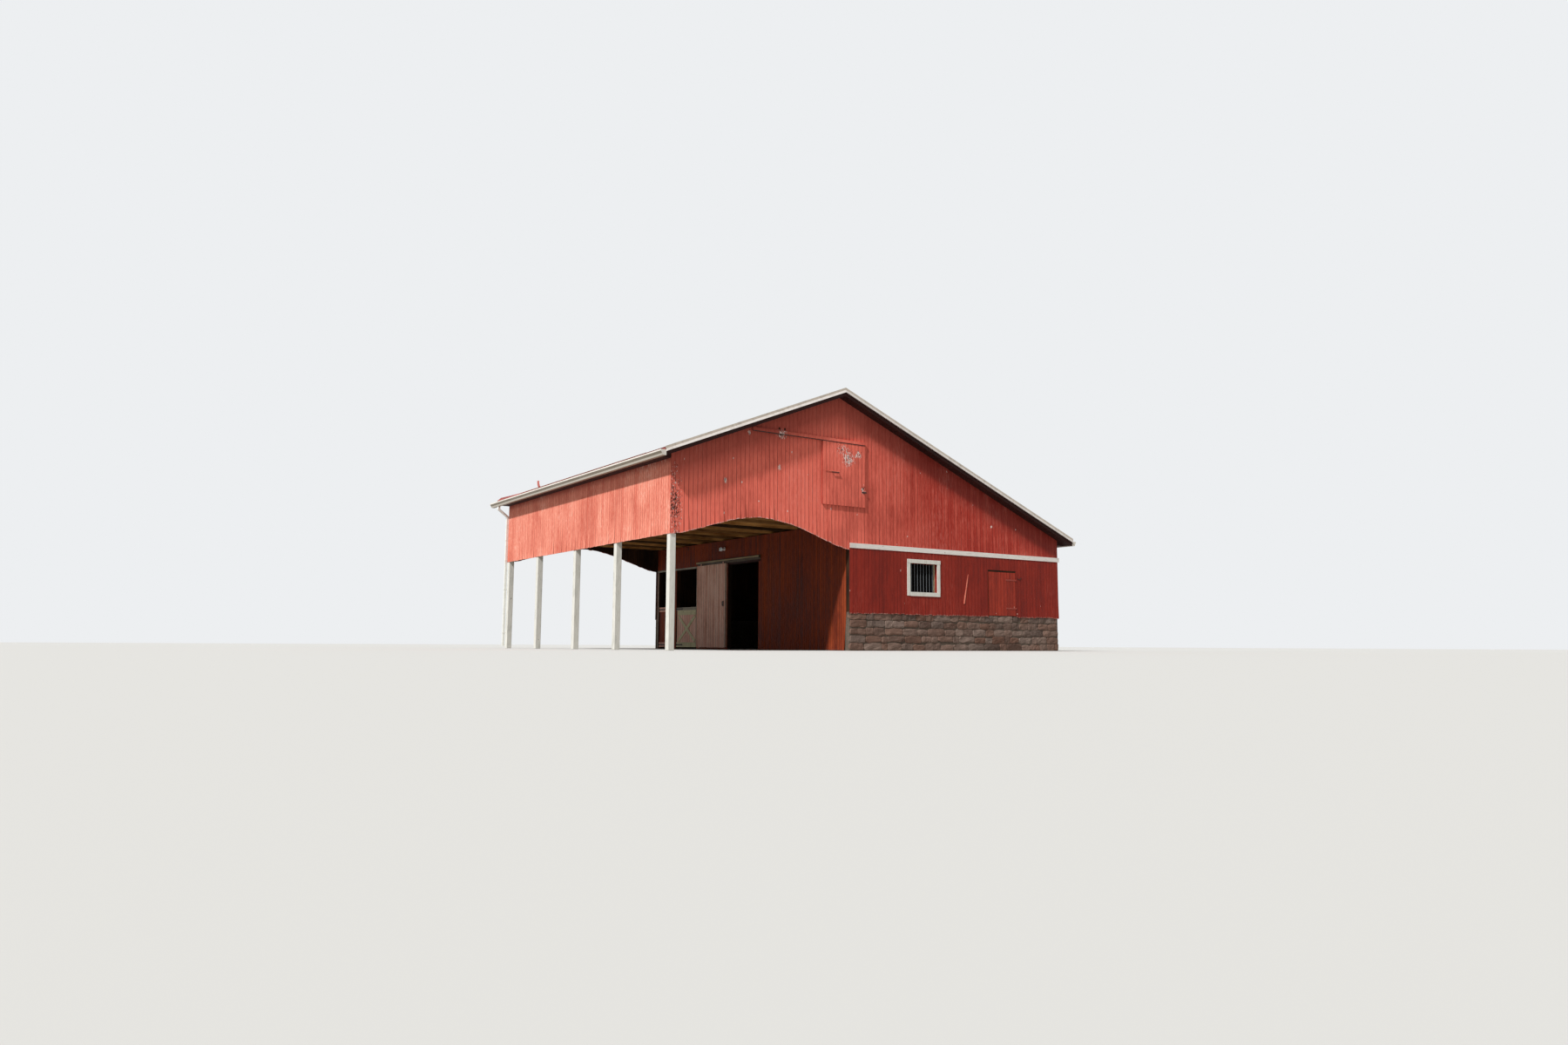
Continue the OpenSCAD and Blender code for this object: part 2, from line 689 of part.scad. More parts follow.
// Far stall door: boards with a top and a foot rail
module far_half_door() color(door_brown) in_frame() {
    y = [far_stall_y + leaf_gap, far_stall_y1 - leaf_gap];
    z1 = ground_gap + far_half_h;
    face = [forebay_d, forebay_d + rail_t + fuse];
    block([forebay_d + rail_t, forebay_d + rail_t + board_t], y, [ground_gap, z1]);
    block(face, y, [ground_gap, ground_gap + rail_w]);
    block(face, y, [z1 - rail_w, z1]);
    at_stall_jamb(far_stall_y1, far_straps) strap_hinge();
}

module hatch_door() color(barn_red) in_frame() {
    block([hatch_x + leaf_gap, hatch_x + hatch_w - leaf_gap], [0, leaf_t],
        [found_h + leaf_gap, hatch_head - leaf_gap]);
    at_hatch_jamb() strap_hinge();
}

module door_pintles() color(iron_dark) in_frame() {
    at_stall_jamb(stall_y1, stall_straps) pintle();
    at_stall_jamb(far_stall_y1, far_straps) pintle();
    at_hatch_jamb() pintle();
}

// Two lamp heads turned apart on one round base
module floodlight() color(white_paint) in_frame()
    translate([forebay_d, slide_y + lamp_in, door_head + lamp_rise]) {
        translate([-lamp_base_t, 0, 0]) rotate([0, 90, 0]) cylinder(h = lamp_base_t, d = lamp_base_d);
        for (side = [-1, 1])
            translate([-lamp_base_t + fuse, side * lamp_apart, 0]) rotate([side * 30, -100, 0]) {
                cylinder(h = lamp_neck_l, d = lamp_neck_d);
                translate([0, 0, lamp_neck_l - fuse])
                    cylinder(h = lamp_head_l, d1 = lamp_neck_d + 5, d2 = lamp_base_d + 10);
            }
    }

side_foundations();
rear_foundation();
near_lower_wall();
near_corner_wall();
hatch_lintel_wall();
far_lower_wall();
rear_wall();
near_gable();
far_gable();
front_wall();
posts();
forebay_beam();
stable_header();
stable_near_wall();
stable_middle_wall();
stable_far_pier();
stable_far_jamb();
joists();
loft_floor();
front_rafters();
rear_rafters();
front_roof();
rear_roof();
ridge_cap();
rake_boards();
rake_soffits();
fascias();
eave_soffits();
front_gutter();
rear_gutter();
downspout();
belt_boards();
window_frame();
loft_door();
loft_door_rail();
door_track();
sliding_door();
stall_half_door();
far_half_door();
hatch_door();
door_pintles();
floodlight();
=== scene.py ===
import logging
import math
import random
from collections.abc import Callable, Iterable
from dataclasses import dataclass, field, replace
from enum import Enum
from functools import partial

import bmesh
import bpy
from mathutils import Matrix, Vector


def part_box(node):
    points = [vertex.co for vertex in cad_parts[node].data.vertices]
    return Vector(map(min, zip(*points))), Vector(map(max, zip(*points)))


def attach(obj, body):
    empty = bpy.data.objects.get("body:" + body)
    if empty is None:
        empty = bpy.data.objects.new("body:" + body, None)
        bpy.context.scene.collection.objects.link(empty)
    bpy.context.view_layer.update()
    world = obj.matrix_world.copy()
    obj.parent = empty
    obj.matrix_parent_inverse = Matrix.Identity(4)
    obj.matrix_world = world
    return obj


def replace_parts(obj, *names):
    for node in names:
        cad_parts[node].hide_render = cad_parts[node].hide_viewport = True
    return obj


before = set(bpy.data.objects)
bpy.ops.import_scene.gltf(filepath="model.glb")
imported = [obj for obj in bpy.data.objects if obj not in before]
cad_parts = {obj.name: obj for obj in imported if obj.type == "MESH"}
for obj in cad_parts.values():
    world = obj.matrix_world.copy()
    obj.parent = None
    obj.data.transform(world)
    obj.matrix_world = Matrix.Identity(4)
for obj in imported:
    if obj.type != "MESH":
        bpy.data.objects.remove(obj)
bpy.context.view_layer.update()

Tree, Node, Socket = bpy.types.NodeTree, bpy.types.Node, bpy.types.NodeSocket
Piece = bpy.types.Object
Add = Callable[..., Node]
Span = tuple[float, float]
Edge = Callable[[float], float]
# The kinds of node that are used most; a range takes its value, the span from and the span to
MATH, RANGE, MIX, NOISE = "ShaderNodeMath", "ShaderNodeMapRange", "ShaderNodeMix", "ShaderNodeTexNoise"
VECTOR_MATH = "ShaderNodeVectorMath"
READ, STORE = "GeometryNodeInputNamedAttribute", "GeometryNodeStoreNamedAttribute"
LOG = logging.getLogger("forebay_barn")


class Body(Enum):
    """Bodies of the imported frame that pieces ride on."""

    BARN = "barn"
    SLIDING_DOOR = "sliding_door"
    STALL_DOOR = "stall_half_door"
    FAR_STALL_DOOR = "far_half_door"
    HATCH = "hatch_door"


class Slot(Enum):
    """Material slots of the record."""

    RED_SIDING = "red_siding"
    FRONT_SIDING = "front_siding"
    WHITE_TRIM = "white_trim"
    CREAM_METAL = "cream_metal"
    OLD_TIMBER = "old_timber"
    FOUNDATION = "foundation"
    ROOF_METAL = "roof_metal"
    DOOR_BROWN = "door_brown"
    CREAM_WOOD = "cream_wood"
    IRON = "iron"
    FITTING = "fitting"


class Grain(Enum):
    """Axis that the wood grain of a piece runs along."""

    ALONG_X = 0
    ALONG_Y = 1
    UPRIGHT = 2

    def scales(self, width_mm: float, stretch: float) -> tuple[float, ...]:
        """Scales of a pattern from its width across the grain and its stretch along it."""
        across = 1000 / width_mm
        return tuple(across / stretch if axis == self.value else across for axis in range(3))


@dataclass(frozen=True)
class BarnShape:
    """Sizes of the barn in millimetres, counted from its near front corner."""

    width: float = 11900
    length: float = 9750
    centre_x: float = 5995
    centre_y: float = 5017.5
    forebay: float = 4750
    wall: float = 120
    front_foot: float = 2440
    ceiling: float = 3016
    ridge_x: float = 4445
    front_pitch: float = 22.1
    rear_pitch: float = 21.6
    roof: float = 35
    rafter: float = 140
    front_over: float = 280
    rear_over: float = 370
    rake_over: float = 250
    rake: float = 120
    arch_rise: float = 536
    arch_drop: float = 87
    arch_power: float = 1.45
    belt_foot: float = 2400
    foundation: float = 900
    door_head: float = 2330
    board: float = 107
    stable_board: float = 112
    board_thick: float = 10

    @property
    def ridge_z(self) -> float:
        """Height of the ridge, fixed by the rear rafters on their plate."""
        run = self.width - self.wall - self.ridge_x
        pitch = math.radians(self.rear_pitch)
        return self.ceiling + run * math.tan(pitch) + (self.roof + self.rafter) / math.cos(pitch)

    def pitch_at(self, x: float) -> float:
        """Roof pitch at x, in radians."""
        return math.radians(self.front_pitch if x < self.ridge_x else self.rear_pitch)

    def under_roof(self, x: float, depth: float = 0.0) -> float:
        """Height at x of a surface that lies depth below the roof, square to it.

        Args:
            x: Distance behind the front face.
            depth: Depth below the top of the roof.

        Returns:
            The height above the floor.
        """
        pitch = self.pitch_at(x)
        return self.ridge_z - abs(x - self.ridge_x) * math.tan(pitch) - depth / math.cos(pitch)

    def arch_foot(self, x: float) -> float:
        """Lower edge of the gable: an arch over the forebay, then level behind the belt board.

        Args:
            x: Distance behind the front face.

        Returns:
            The height above the floor.
        """
        if x >= self.forebay:
            return self.belt_foot + 8
        share = max(x, 0.0) / self.forebay
        return (self.front_foot - self.arch_drop * share + self.arch_rise * math.sin(
            math.pi * share) ** self.arch_power)

    def soffit(self, rear: bool) -> float:
        """Height of the level soffit under an eave."""
        fascia = self.width + self.rear_over - 20 if rear else 20 - self.front_over
        return self.under_roof(fascia, self.roof) - self.rake


SHAPE = BarnShape()


def at(x: float, y: float, z: float) -> Vector:
    """Turns millimetres from the near front corner into metres of the shared frame."""
    return Vector((x - SHAPE.centre_x, y - SHAPE.centre_y, z)) / 1000


def linear(code: str) -> tuple[float, float, float, float]:
    """Turns an sRGB hex colour into linear light.

    Args:
        code: Six hex digits, with or without a leading hash.

    Returns:
        Linear red, green and blue, with an alpha of one.
    """
    parts = [int(code.lstrip("#")[i:i + 2], 16) / 255 for i in (0, 2, 4)]
    red, green, blue = (p / 12.92 if p <= 0.04045 else ((p + 0.055) / 1.055) ** 2.4 for p in parts)
    return red, green, blue, 1.0


def wire(node: Node, wires: dict | tuple) -> None:
    """Sets inputs of a node.

    Args:
        node: The node.
        wires: Input name or number to what it gets, or what the first inputs get in order: a value, a
            hex colour, an output, or a node whose first live output feeds the input.
    """
    for name, value in wires.items() if isinstance(wires, dict) else enumerate(wires):
        if isinstance(value, Node):
            value = next(output for output in value.outputs if output.enabled)
        if isinstance(value, Socket):
            node.id_data.links.new(value, node.inputs[name])
        else:
            tint = isinstance(value, str) and value.startswith("#")
            node.inputs[name].default_value = linear(value) if tint else value


def add_node(tree: Tree, kind: str, wires: dict | tuple = (), **settings) -> Node:
    """Adds one node with its settings and links.

    Args:
        tree: The tree that gets the node.
        kind: The node's type.
        wires: What its inputs are set to, as for wire.
        **settings: Properties of the node.

    Returns:
        The new node.
    """
    made = tree.nodes.new(kind)
    for name, value in settings.items():
        setattr(made, name, value)
    wire(made, wires)
    return made


@dataclass(frozen=True)
class Finish:
    """A surface finish that makes its material once and then shares it."""

    name: str
    slot: Slot = Slot.RED_SIDING

    def material(self) -> bpy.types.Material:
        """Returns the finish's material, built on its first use."""
        made = bpy.data.materials.get(self.name)
        if made is None:
            made = bpy.data.materials.new(self.name)
            made.use_nodes = True
            add = partial(add_node, made.node_tree)
            place = add("ShaderNodeTexCoord").outputs["Object"]
            self.dress(add, place, made.node_tree.nodes["Principled BSDF"])
        return made

    def dress(self, add: Add, place: Socket, shader: Node) -> None:
        """Adds the nodes that give the finish its look.

        Args:
            add: Adds a node.
            place: Object coordinates.
            shader: Gets the look.
        """
        raise NotImplementedError


@dataclass(frozen=True)
class Patch:
    """A spot on a gable where the paint flakes off, in millimetres of the barn."""

    x: float
    z: float
    wide: float
    high: float
    bare: float = 1.0
    rot: float = 0.4


@dataclass
class PaintBase:
    """What the steps of a paint share: what adds nodes, coordinates, and noise from fine to wide."""

    add: Add
    place: Socket
    grain: Node
    flecks: Node
    streaks: Node
    clouds: Node


@dataclass(frozen=True)
class PaintedBoards(Finish):
    """Paint on wooden boards, faded in streaks along the grain, worn to the wood in places, and darkened
    under the roof as painted shade where asked.
    """

    sound: str = "#A03A2F"
    faded: str = "#C25A4B"
    grime_and_shade: str = "#4A150F"
    bare: str = "#D9B0A2"
    rot: str = "#3A1C15"
    grain: Grain = Grain.UPRIGHT
    grain_mm: float = 14.0
    fleck_mm: float = 30.0
    streak_mm: float = 65.0
    cloud_mm: float = 900.0
    rim_dirt: float = 0.5
    mildew: float = 0.30
    knots: float = 0.4
    wear: float = 0.15
    foot_wear: float = 0.0
    chips: float = 0.4
    dark_end_x: float = 0.0
    light_end_x: float = 0.0
    tone_share: float = 0.30
    fleck_share: float = 0.40
    streak_share: float = 0.35
    cloud_share: float = 0.40
    # Painted shade under the roof: depths of full and none in millimetres, and its share
    roof_shade: tuple[float, float, float] = (0.0, 0.0, 0.0)
    roughness: float = 0.72
    patches: tuple[Patch, ...] = ()

    def dress(self, add: Add, place: Socket, shader: Node) -> None:
        """Adds fading, dirt with painted shade, wear and chips to the shader.

        Args:
            add: Adds a node.
            place: Object coordinates.
            shader: Gets the look.
        """
        # Grain of 14 mm is coarser than the wood's own, so that it shows from 25 m away
        base = PaintBase(add, place, *(self.along_grain(add, place, width, stretch) for width, stretch in (
            (self.grain_mm, 25.0), (self.fleck_mm, 5.0), (self.streak_mm, 18.0), (self.cloud_mm, 1.6))))
        fade = self.fade(base)
        paint = add(MIX, {0: fade, 6: self.sound, 7: self.faded}, data_type="RGBA")
        ragged = add(NOISE, {"Vector": place, "Scale": 30.0, "Detail": 3.0})
        dirty_and_shaded = add(MIX, {0: self.dirt_and_shade(base), 6: paint, 7: self.grime_and_shade}, data_type="RGBA")
        knots = self.spots(base, ragged.outputs["Color"], (5.0, 2.4), 0.075, 0.35 * self.knots)
        chips = self.spots(base, ragged.outputs["Color"], (9.0, 5.0), 0.13, 0.12 * self.chips)
        bare, rot = self.flakes(base)
        worn = add(MATH, (self.worn(base), chips), operation="MAXIMUM")
        worn = add(MATH, (worn, bare), operation="MAXIMUM")
        rotten = add(MATH, (knots, 0.6), operation="MULTIPLY")
        rotten = add(MATH, (rotten, rot), operation="MAXIMUM")
        colour = add(MIX, {0: worn, 6: dirty_and_shaded, 7: self.bare}, data_type="RGBA")
        colour = add(MIX, {0: rotten, 6: colour, 7: self.rot}, data_type="RGBA")
        height = add(MATH, (base.grain, worn), operation="SUBTRACT")
        bump = add("ShaderNodeBump", {"Strength": 0.5, "Distance": 0.004, "Height": height})
        rough = add(RANGE, (fade, 0.0, 1.0, self.roughness - 0.14, self.roughness + 0.14))
        wire(shader, {"Base Color": colour, "Roughness": rough, "Normal": bump, "Specular IOR Level": 0.2})

    def along_grain(self, add: Add, place: Socket, width_mm: float, stretch: float) -> Node:
        """Noise stretched along the grain and spread over 0 to 1.

        Args:
            add: Adds a node.
            place: Object coordinates.
            width_mm: Width of a feature across the grain.
            stretch: How many times longer than wide it is.

        Returns:
            The node that gives the noise.
        """
        spread = add("ShaderNodeMapping", {"Vector": place, "Scale": self.grain.scales(width_mm, stretch)})
        noise = add(NOISE, {"Vector": spread, "Scale": 1.0, "Detail": 4.0, "Roughness": 0.6})
        return add(RANGE, (noise, 0.34, 0.66))

    def fade(self, base: PaintBase) -> Node:
        """How far the paint has faded, from noise and each board's tone, and by the place on the wall,
        lighter towards the front as partly painted light.

        Args:
            base: What the steps of the paint share.

        Returns:
            The node that gives it, from none to full.
        """
        add = base.add
        tone = add("ShaderNodeAttribute", attribute_name="tone").outputs["Fac"]
        shares = (
            (base.flecks, self.fleck_share), (base.streaks, self.streak_share),
            (base.clouds, self.cloud_share), (tone, self.tone_share))
        # Starts so that the middle of all shares is halfway between sound and faded paint
        fade = 0.5 - sum(share for _, share in shares) / 2
        for value, share in shares:
            fade = add(MATH, (value, share, fade), operation="MULTIPLY_ADD")
        # Lighter towards the front and darker towards the rear: partly faded paint and partly painted light,
        # sunlit wall in front and shaded wall behind
        if self.dark_end_x != self.light_end_x:
            across = add("ShaderNodeSeparateXYZ", (base.place,))
            light_to_dark_across = add(RANGE, (
                across.outputs["X"], (self.light_end_x - SHAPE.centre_x) / 1000,
                (self.dark_end_x - SHAPE.centre_x) / 1000, 0.40, -0.40))
            fade = add(MATH, (fade, light_to_dark_across), operation="ADD")
        return add("ShaderNodeClamp", (fade,))

    def dirt_and_shade(self, base: PaintBase) -> Node:
        """Dirt in the joints between boards, mildew in dark streaks and painted shade under the roof.

        Args:
            base: What the steps of the paint share.

        Returns:
            The node that gives its share.
        """
        add = base.add
        rim = add("ShaderNodeAttribute", attribute_name="rim").outputs["Fac"]
        edge = add(MATH, (rim,), operation="ABSOLUTE")
        edge = add(RANGE, (edge, 0.41, 0.48, 0.0, self.rim_dirt), interpolation_type="SMOOTHSTEP")
        edge = add(MATH, (base.streaks, 0.5, edge), operation="MULTIPLY_ADD")
        edge = add(MATH, (edge, 0.5), operation="SUBTRACT", use_clamp=True)
        mildew = add(MATH, (base.grain, base.streaks), operation="MULTIPLY")
        mildew = add(MATH, (mildew, base.clouds), operation="ADD")
        mildew = add(RANGE, (mildew, 0.15, 0.65, self.mildew, 0.0))
        dirt_and_shade = add(MATH, (edge, mildew), operation="MAXIMUM")
        # Painted shade darkens the boards under the roof
        if self.roof_shade[2] > 0:
            dirt_and_shade = add(MATH, (dirt_and_shade, self.painted_roof_shade(base)), operation="MAXIMUM")
        return dirt_and_shade

    def painted_roof_shade(self, base: PaintBase) -> Node:
        """Painted shade below the roof: the depths of full and none in millimetres, and its share.

        Args:
            base: What the steps of the paint share.

        Returns:
            The node that gives its share.
        """
        add = base.add
        full, none = ((SHAPE.ridge_z - depth) / 1000 for depth in self.roof_shade[:2])
        parts = add("ShaderNodeSeparateXYZ", (base.place,))
        away = add(MATH, (parts, (SHAPE.ridge_x - SHAPE.centre_x) / 1000), operation="SUBTRACT")
        away = add(MATH, (away,), operation="ABSOLUTE")
        # The two pitches differ too little to show here
        pitch = math.tan(math.radians(SHAPE.front_pitch))
        level_z = add(MATH, (away, pitch, parts.outputs["Z"]), operation="MULTIPLY_ADD")
        return add(RANGE, (level_z, none, full, 0.0, self.roof_shade[2]))

    def worn(self, base: PaintBase) -> Node:
        """Where the paint is rubbed thin: raised grain, and the feet of some boards.

        Args:
            base: What the steps of the paint share.

        Returns:
            The node that gives its share.
        """
        add = base.add
        amount = add(MATH, (base.grain, base.flecks), operation="MULTIPLY")
        amount = add(MATH, (amount, base.clouds), operation="MULTIPLY")
        worn = add(RANGE, (amount, 0.22, 0.6, 0.0, self.wear))
        if self.foot_wear > 0:
            reach = add("ShaderNodeAttribute", attribute_name="reach").outputs["Fac"]
            # Where there is no board the reach reads 0, and on a board it is a little more
            foot = add(RANGE, (reach, 0.0, 0.040, 1.0, 0.0))
            foot = add(MATH, (foot, base.flecks), operation="MULTIPLY")
            foot = add(RANGE, (foot, 0.25, 0.55, 0.0, self.foot_wear))
            board = add(MATH, (reach, 0.0005), operation="GREATER_THAN")
            foot = add(MATH, (foot, board), operation="MULTIPLY")
            worn = add(MATH, (worn, foot), operation="MAXIMUM")
        return worn

    def flakes(self, base: PaintBase) -> tuple:
        """Flakes of 25 by 60 mm that have dropped off in the patches.

        Args:
            base: What the steps of the paint share.

        Returns:
            Masks of clean bare wood and of dark old wood, each a value or a node.
        """
        add = base.add
        if not self.patches:
            return 0.0, 0.0
        masks = [0.0, 0.0]
        spread = add("ShaderNodeMapping", {"Vector": base.place, "Scale": self.grain.scales(25, 2.4)})
        noise = add(NOISE, {"Vector": spread, "Scale": 1.0, "Detail": 5.0, "Roughness": 0.7})
        parts = add("ShaderNodeSeparateColor", (noise.outputs["Color"],))
        for patch in self.patches:
            off = add(VECTOR_MATH, (base.place, at(patch.x, 0, patch.z)), operation="SUBTRACT")
            off = add(VECTOR_MATH, (off, (2000 / patch.wide, 0.0, 2000 / patch.high)), operation="MULTIPLY")
            far = add(VECTOR_MATH, (off,), operation="LENGTH")
            near = add(MATH, (1.0, far), operation="SUBTRACT", use_clamp=True)
            inside = add(MATH, (near, 0.0), operation="GREATER_THAN")
            for kind, amount in enumerate((patch.bare, patch.rot)):
                total = add(MATH, (near, 0.28 * amount, parts.outputs[kind]), operation="MULTIPLY_ADD")
                flake = add(RANGE, (total, 0.61, 0.65, 0.0, 0.9))
                flake = add(MATH, (flake, inside), operation="MULTIPLY")
                masks[kind] = add(MATH, (flake, masks[kind]), operation="MAXIMUM")
        return tuple(masks)

    def spots(self, base: PaintBase, ragged: Socket, spacing: Span, size: float, share: float) -> Node:
        """Scattered spots with ragged edges, longer along the grain, as a mask of 0 to 1.

        Args:
            base: What the steps of the paint share.
            ragged: Noise that breaks up their outline.
            spacing: Spots in a metre across and along the grain.
            size: Reach of a spot as a share of that spacing.
            share: Share of the spots that show.

        Returns:
            The node that gives the mask.
        """
        add = base.add
        across, along = spacing
        scale = tuple(along if axis == self.grain.value else across for axis in range(3))
        cells = add(VECTOR_MATH, (base.place, scale), operation="MULTIPLY")
        cells = add(VECTOR_MATH, (ragged, (0.35, 0.35, 0.35), cells), operation="MULTIPLY_ADD")
        cells = add("ShaderNodeTexVoronoi", {"Vector": cells, "Scale": 1.0})
        spot = add(RANGE, (cells.outputs["Distance"], size * 0.6, size, 1.0, 0.0))
        pick = add("ShaderNodeSeparateColor", (cells.outputs["Color"],))
        some = add(MATH, (pick, 1.0 - share), operation="GREATER_THAN")
        return add(MATH, (spot, some), operation="MULTIPLY")


@dataclass(frozen=True)
class RoughTimber(Finish):
    """Bare sawn timber, brown with age, with dark rings along the grain and open seams."""

    slot: Slot = Slot.OLD_TIMBER
    light: str = "#8A5B34"
    dark: str = "#3E2413"
    grain: Grain = Grain.ALONG_X
    seam_mm: float = 0.0
    seam_axis: int = 0
    seam_start: float = 0.0
    tone_low: float = 0.6
    tone_high: float = 1.1
    seam_dark: float = 1.0
    lit_and_shaded_alternate: float = 0.0

    def dress(self, add: Add, place: Socket, shader: Node) -> None:
        """Adds grain, blotches and board seams to the shader.

        Args:
            add: Adds a node.
            place: Object coordinates.
            shader: Gets the look.
        """
        spread = add("ShaderNodeMapping", {"Vector": place, "Scale": self.grain.scales(33, 25)})
        rings = add(NOISE, {"Vector": spread, "Scale": 1.0, "Detail": 6.0, "Roughness": 0.65})
        blotch = add(NOISE, {"Vector": place, "Scale": 1.7, "Detail": 3.0})
        mixed = add(MATH, (rings, blotch), operation="ADD")
        shade = add(RANGE, (mixed, 0.78, 1.22))
        colour = add(MIX, {0: shade, 6: self.dark, 7: self.light}, data_type="RGBA")
        height = rings
        if self.seam_mm > 0:
            parts = add("ShaderNodeSeparateXYZ", (place,))
            start = at(*[self.seam_start] * 3)[self.seam_axis]
            share = add(MATH, (parts.outputs[self.seam_axis], start), operation="SUBTRACT")
            share = add(MATH, (share, 1000 / self.seam_mm), operation="MULTIPLY")
            wave = add(MATH, (share, 0.5), operation="PINGPONG")
            seam = add(RANGE, (wave, 0.0, 0.05, self.seam_dark, 0.0))
            board = add(MATH, (share,), operation="FLOOR")
            tone = add("ShaderNodeTexWhiteNoise", {"W": board}, noise_dimensions="1D")
            # Alternating tones stand partly for lit and shaded joists: painted light
            if self.lit_and_shaded_alternate > 0:
                second = add(MATH, (board, 2.0), operation="FLOORED_MODULO")
                tone = add(MIX, {0: self.lit_and_shaded_alternate, 2: tone, 3: second})
            lighter = add(RANGE, (tone, 0.0, 1.0, self.tone_low, self.tone_high))
            toned = add(MIX, {0: 1.0, 6: colour, 7: lighter}, data_type="RGBA", blend_type="MULTIPLY")
            colour = add(MIX, {0: seam, 6: toned, 7: "#120A06"}, data_type="RGBA")
            height = add(MATH, (rings, seam), operation="SUBTRACT")
        bump = add("ShaderNodeBump", {"Strength": 0.4, "Distance": 0.005, "Height": height})
        wire(shader, {"Base Color": colour, "Normal": bump, "Roughness": 0.85, "Specular IOR Level": 0.2})


@dataclass(frozen=True)
class RoofPaint(Finish):
    """Baked paint on ribbed steel sheet, faded by the sun, with rust runs down the slope."""

    slot: Slot = Slot.ROOF_METAL
    sound: str = "#8E3027"
    faded: str = "#B25A4C"
    rust: str = "#5E2F1C"

    def dress(self, add: Add, place: Socket, shader: Node) -> None:
        """Adds fading, runs down the slope and rust to the shader.

        Args:
            add: Adds a node.
            place: Object coordinates.
            shader: Gets the look.
        """
        runs = add("ShaderNodeMapping", {"Vector": place, "Scale": (0.5, 9.0, 0.5)})
        runs = add(NOISE, {"Vector": runs, "Scale": 1.0, "Detail": 5.0, "Roughness": 0.6})
        clouds = add(NOISE, {"Vector": place, "Scale": 0.6, "Detail": 4.0})
        # Sheets are 0.9 m wide and fade a little differently
        parts = add("ShaderNodeSeparateXYZ", (place,))
        sheet = add(MATH, (parts.outputs["Y"], 1 / 0.9), operation="MULTIPLY")
        sheet = add(MATH, (sheet,), operation="FLOOR")
        tone = add("ShaderNodeTexWhiteNoise", {"W": sheet}, noise_dimensions="1D")
        total = add(MATH, (tone, 0.22, runs), operation="MULTIPLY_ADD")
        total = add(MATH, (total, clouds), operation="ADD")
        fade = add(RANGE, (total, 0.85, 1.4))
        paint = add(MIX, {0: fade, 6: self.sound, 7: self.faded}, data_type="RGBA")
        rust = add(RANGE, (runs, 0.60, 0.72, 0.0, 0.7))
        rusty = add(MIX, {0: rust, 6: paint, 7: self.rust}, data_type="RGBA")
        rough = add(RANGE, (total, 0.8, 1.4, 0.38, 0.62))
        wire(shader, {"Base Color": rusty, "Roughness": rough})


@dataclass(frozen=True)
class PaintedSteel(Finish):
    """Enamelled sheet steel, a little glossy, with streaks of olive dirt and painted shade on faces that
    look down where asked.
    """

    slot: Slot = Slot.CREAM_METAL
    sound: str = "#DDD7C4"
    dirt_and_shade: str = "#8E8763"
    amount: float = 0.6
    underside_shade: float = 0.0
    gloss: float = 0.38

    def dress(self, add: Add, place: Socket, shader: Node) -> None:
        """Adds dirt streaks, dull patches and painted shade on downward faces to the shader.

        Args:
            add: Adds a node.
            place: Object coordinates.
            shader: Gets the look.
        """
        spread = add("ShaderNodeMapping", {"Vector": place, "Scale": (9.0, 2.2, 9.0)})
        streaks = add(NOISE, {"Vector": spread, "Scale": 1.0, "Detail": 5.0, "Roughness": 0.62})
        dirt_and_shade = add(RANGE, (streaks, 0.45, 0.75, 0.0, self.amount))
        # Faces that look down get the dirt colour: painted shade
        facing = add("ShaderNodeSeparateXYZ", (add("ShaderNodeNewGeometry").outputs["Normal"],))
        underside_shade_mask = add(RANGE, (facing.outputs["Z"], -0.1, -0.45, 0.0, self.underside_shade))
        dirt_and_shade = add(MATH, (dirt_and_shade, underside_shade_mask), operation="MAXIMUM")
        colour = add(MIX, {0: dirt_and_shade, 6: self.sound, 7: self.dirt_and_shade}, data_type="RGBA")
        rough = add(RANGE, (streaks, 0.4, 0.7, self.gloss, self.gloss + 0.3))
        wire(shader, {"Base Color": colour, "Roughness": rough})


@dataclass(frozen=True)
class Masonry(Finish):
    """Field stone or lime mortar: matt, pitted and uneven in colour."""

    slot: Slot = Slot.FOUNDATION
    light: str = "#8C857A"
    dark: str = "#4E4842"
    ruddy: str = "#7A5544"
    pit_mm: float = 14.0

    def dress(self, add: Add, place: Socket, shader: Node) -> None:
        """Adds stone tones and pits to the shader.

        Args:
            add: Adds a node.
            place: Object coordinates.
            shader: Gets the look.
        """
        tone = add("ShaderNodeAttribute", attribute_name="tone").outputs["Fac"]
        pits = add(NOISE, {
            "Vector": place, "Scale": 1000 / self.pit_mm / 4, "Detail": 6.0, "Roughness": 0.7})
        stain = add(NOISE, {"Vector": place, "Scale": 1.3, "Detail": 3.0})
        total = add(MATH, (pits, stain), operation="ADD")
        total = add(MATH, (tone, 0.55, total), operation="MULTIPLY_ADD")
        shade = add(RANGE, (total, 0.8, 1.6))
        colour = add(MIX, {0: shade, 6: self.dark, 7: self.light}, data_type="RGBA")
        # Each stone leans to iron red by another amount, taken from its tone
        hue = add(MATH, (tone, 7.31), operation="MULTIPLY")
        hue = add(MATH, (hue,), operation="FRACT")
        hue = add(MATH, (hue, 0.6), operation="MULTIPLY")
        colour = add(MIX, {0: hue, 6: colour, 7: self.ruddy}, data_type="RGBA")
        bump = add("ShaderNodeBump", {"Strength": 0.7, "Distance": 0.012, "Height": pits})
        wire(shader, {"Base Color": colour, "Normal": bump, "Roughness": 0.93, "Specular IOR Level": 0.2})


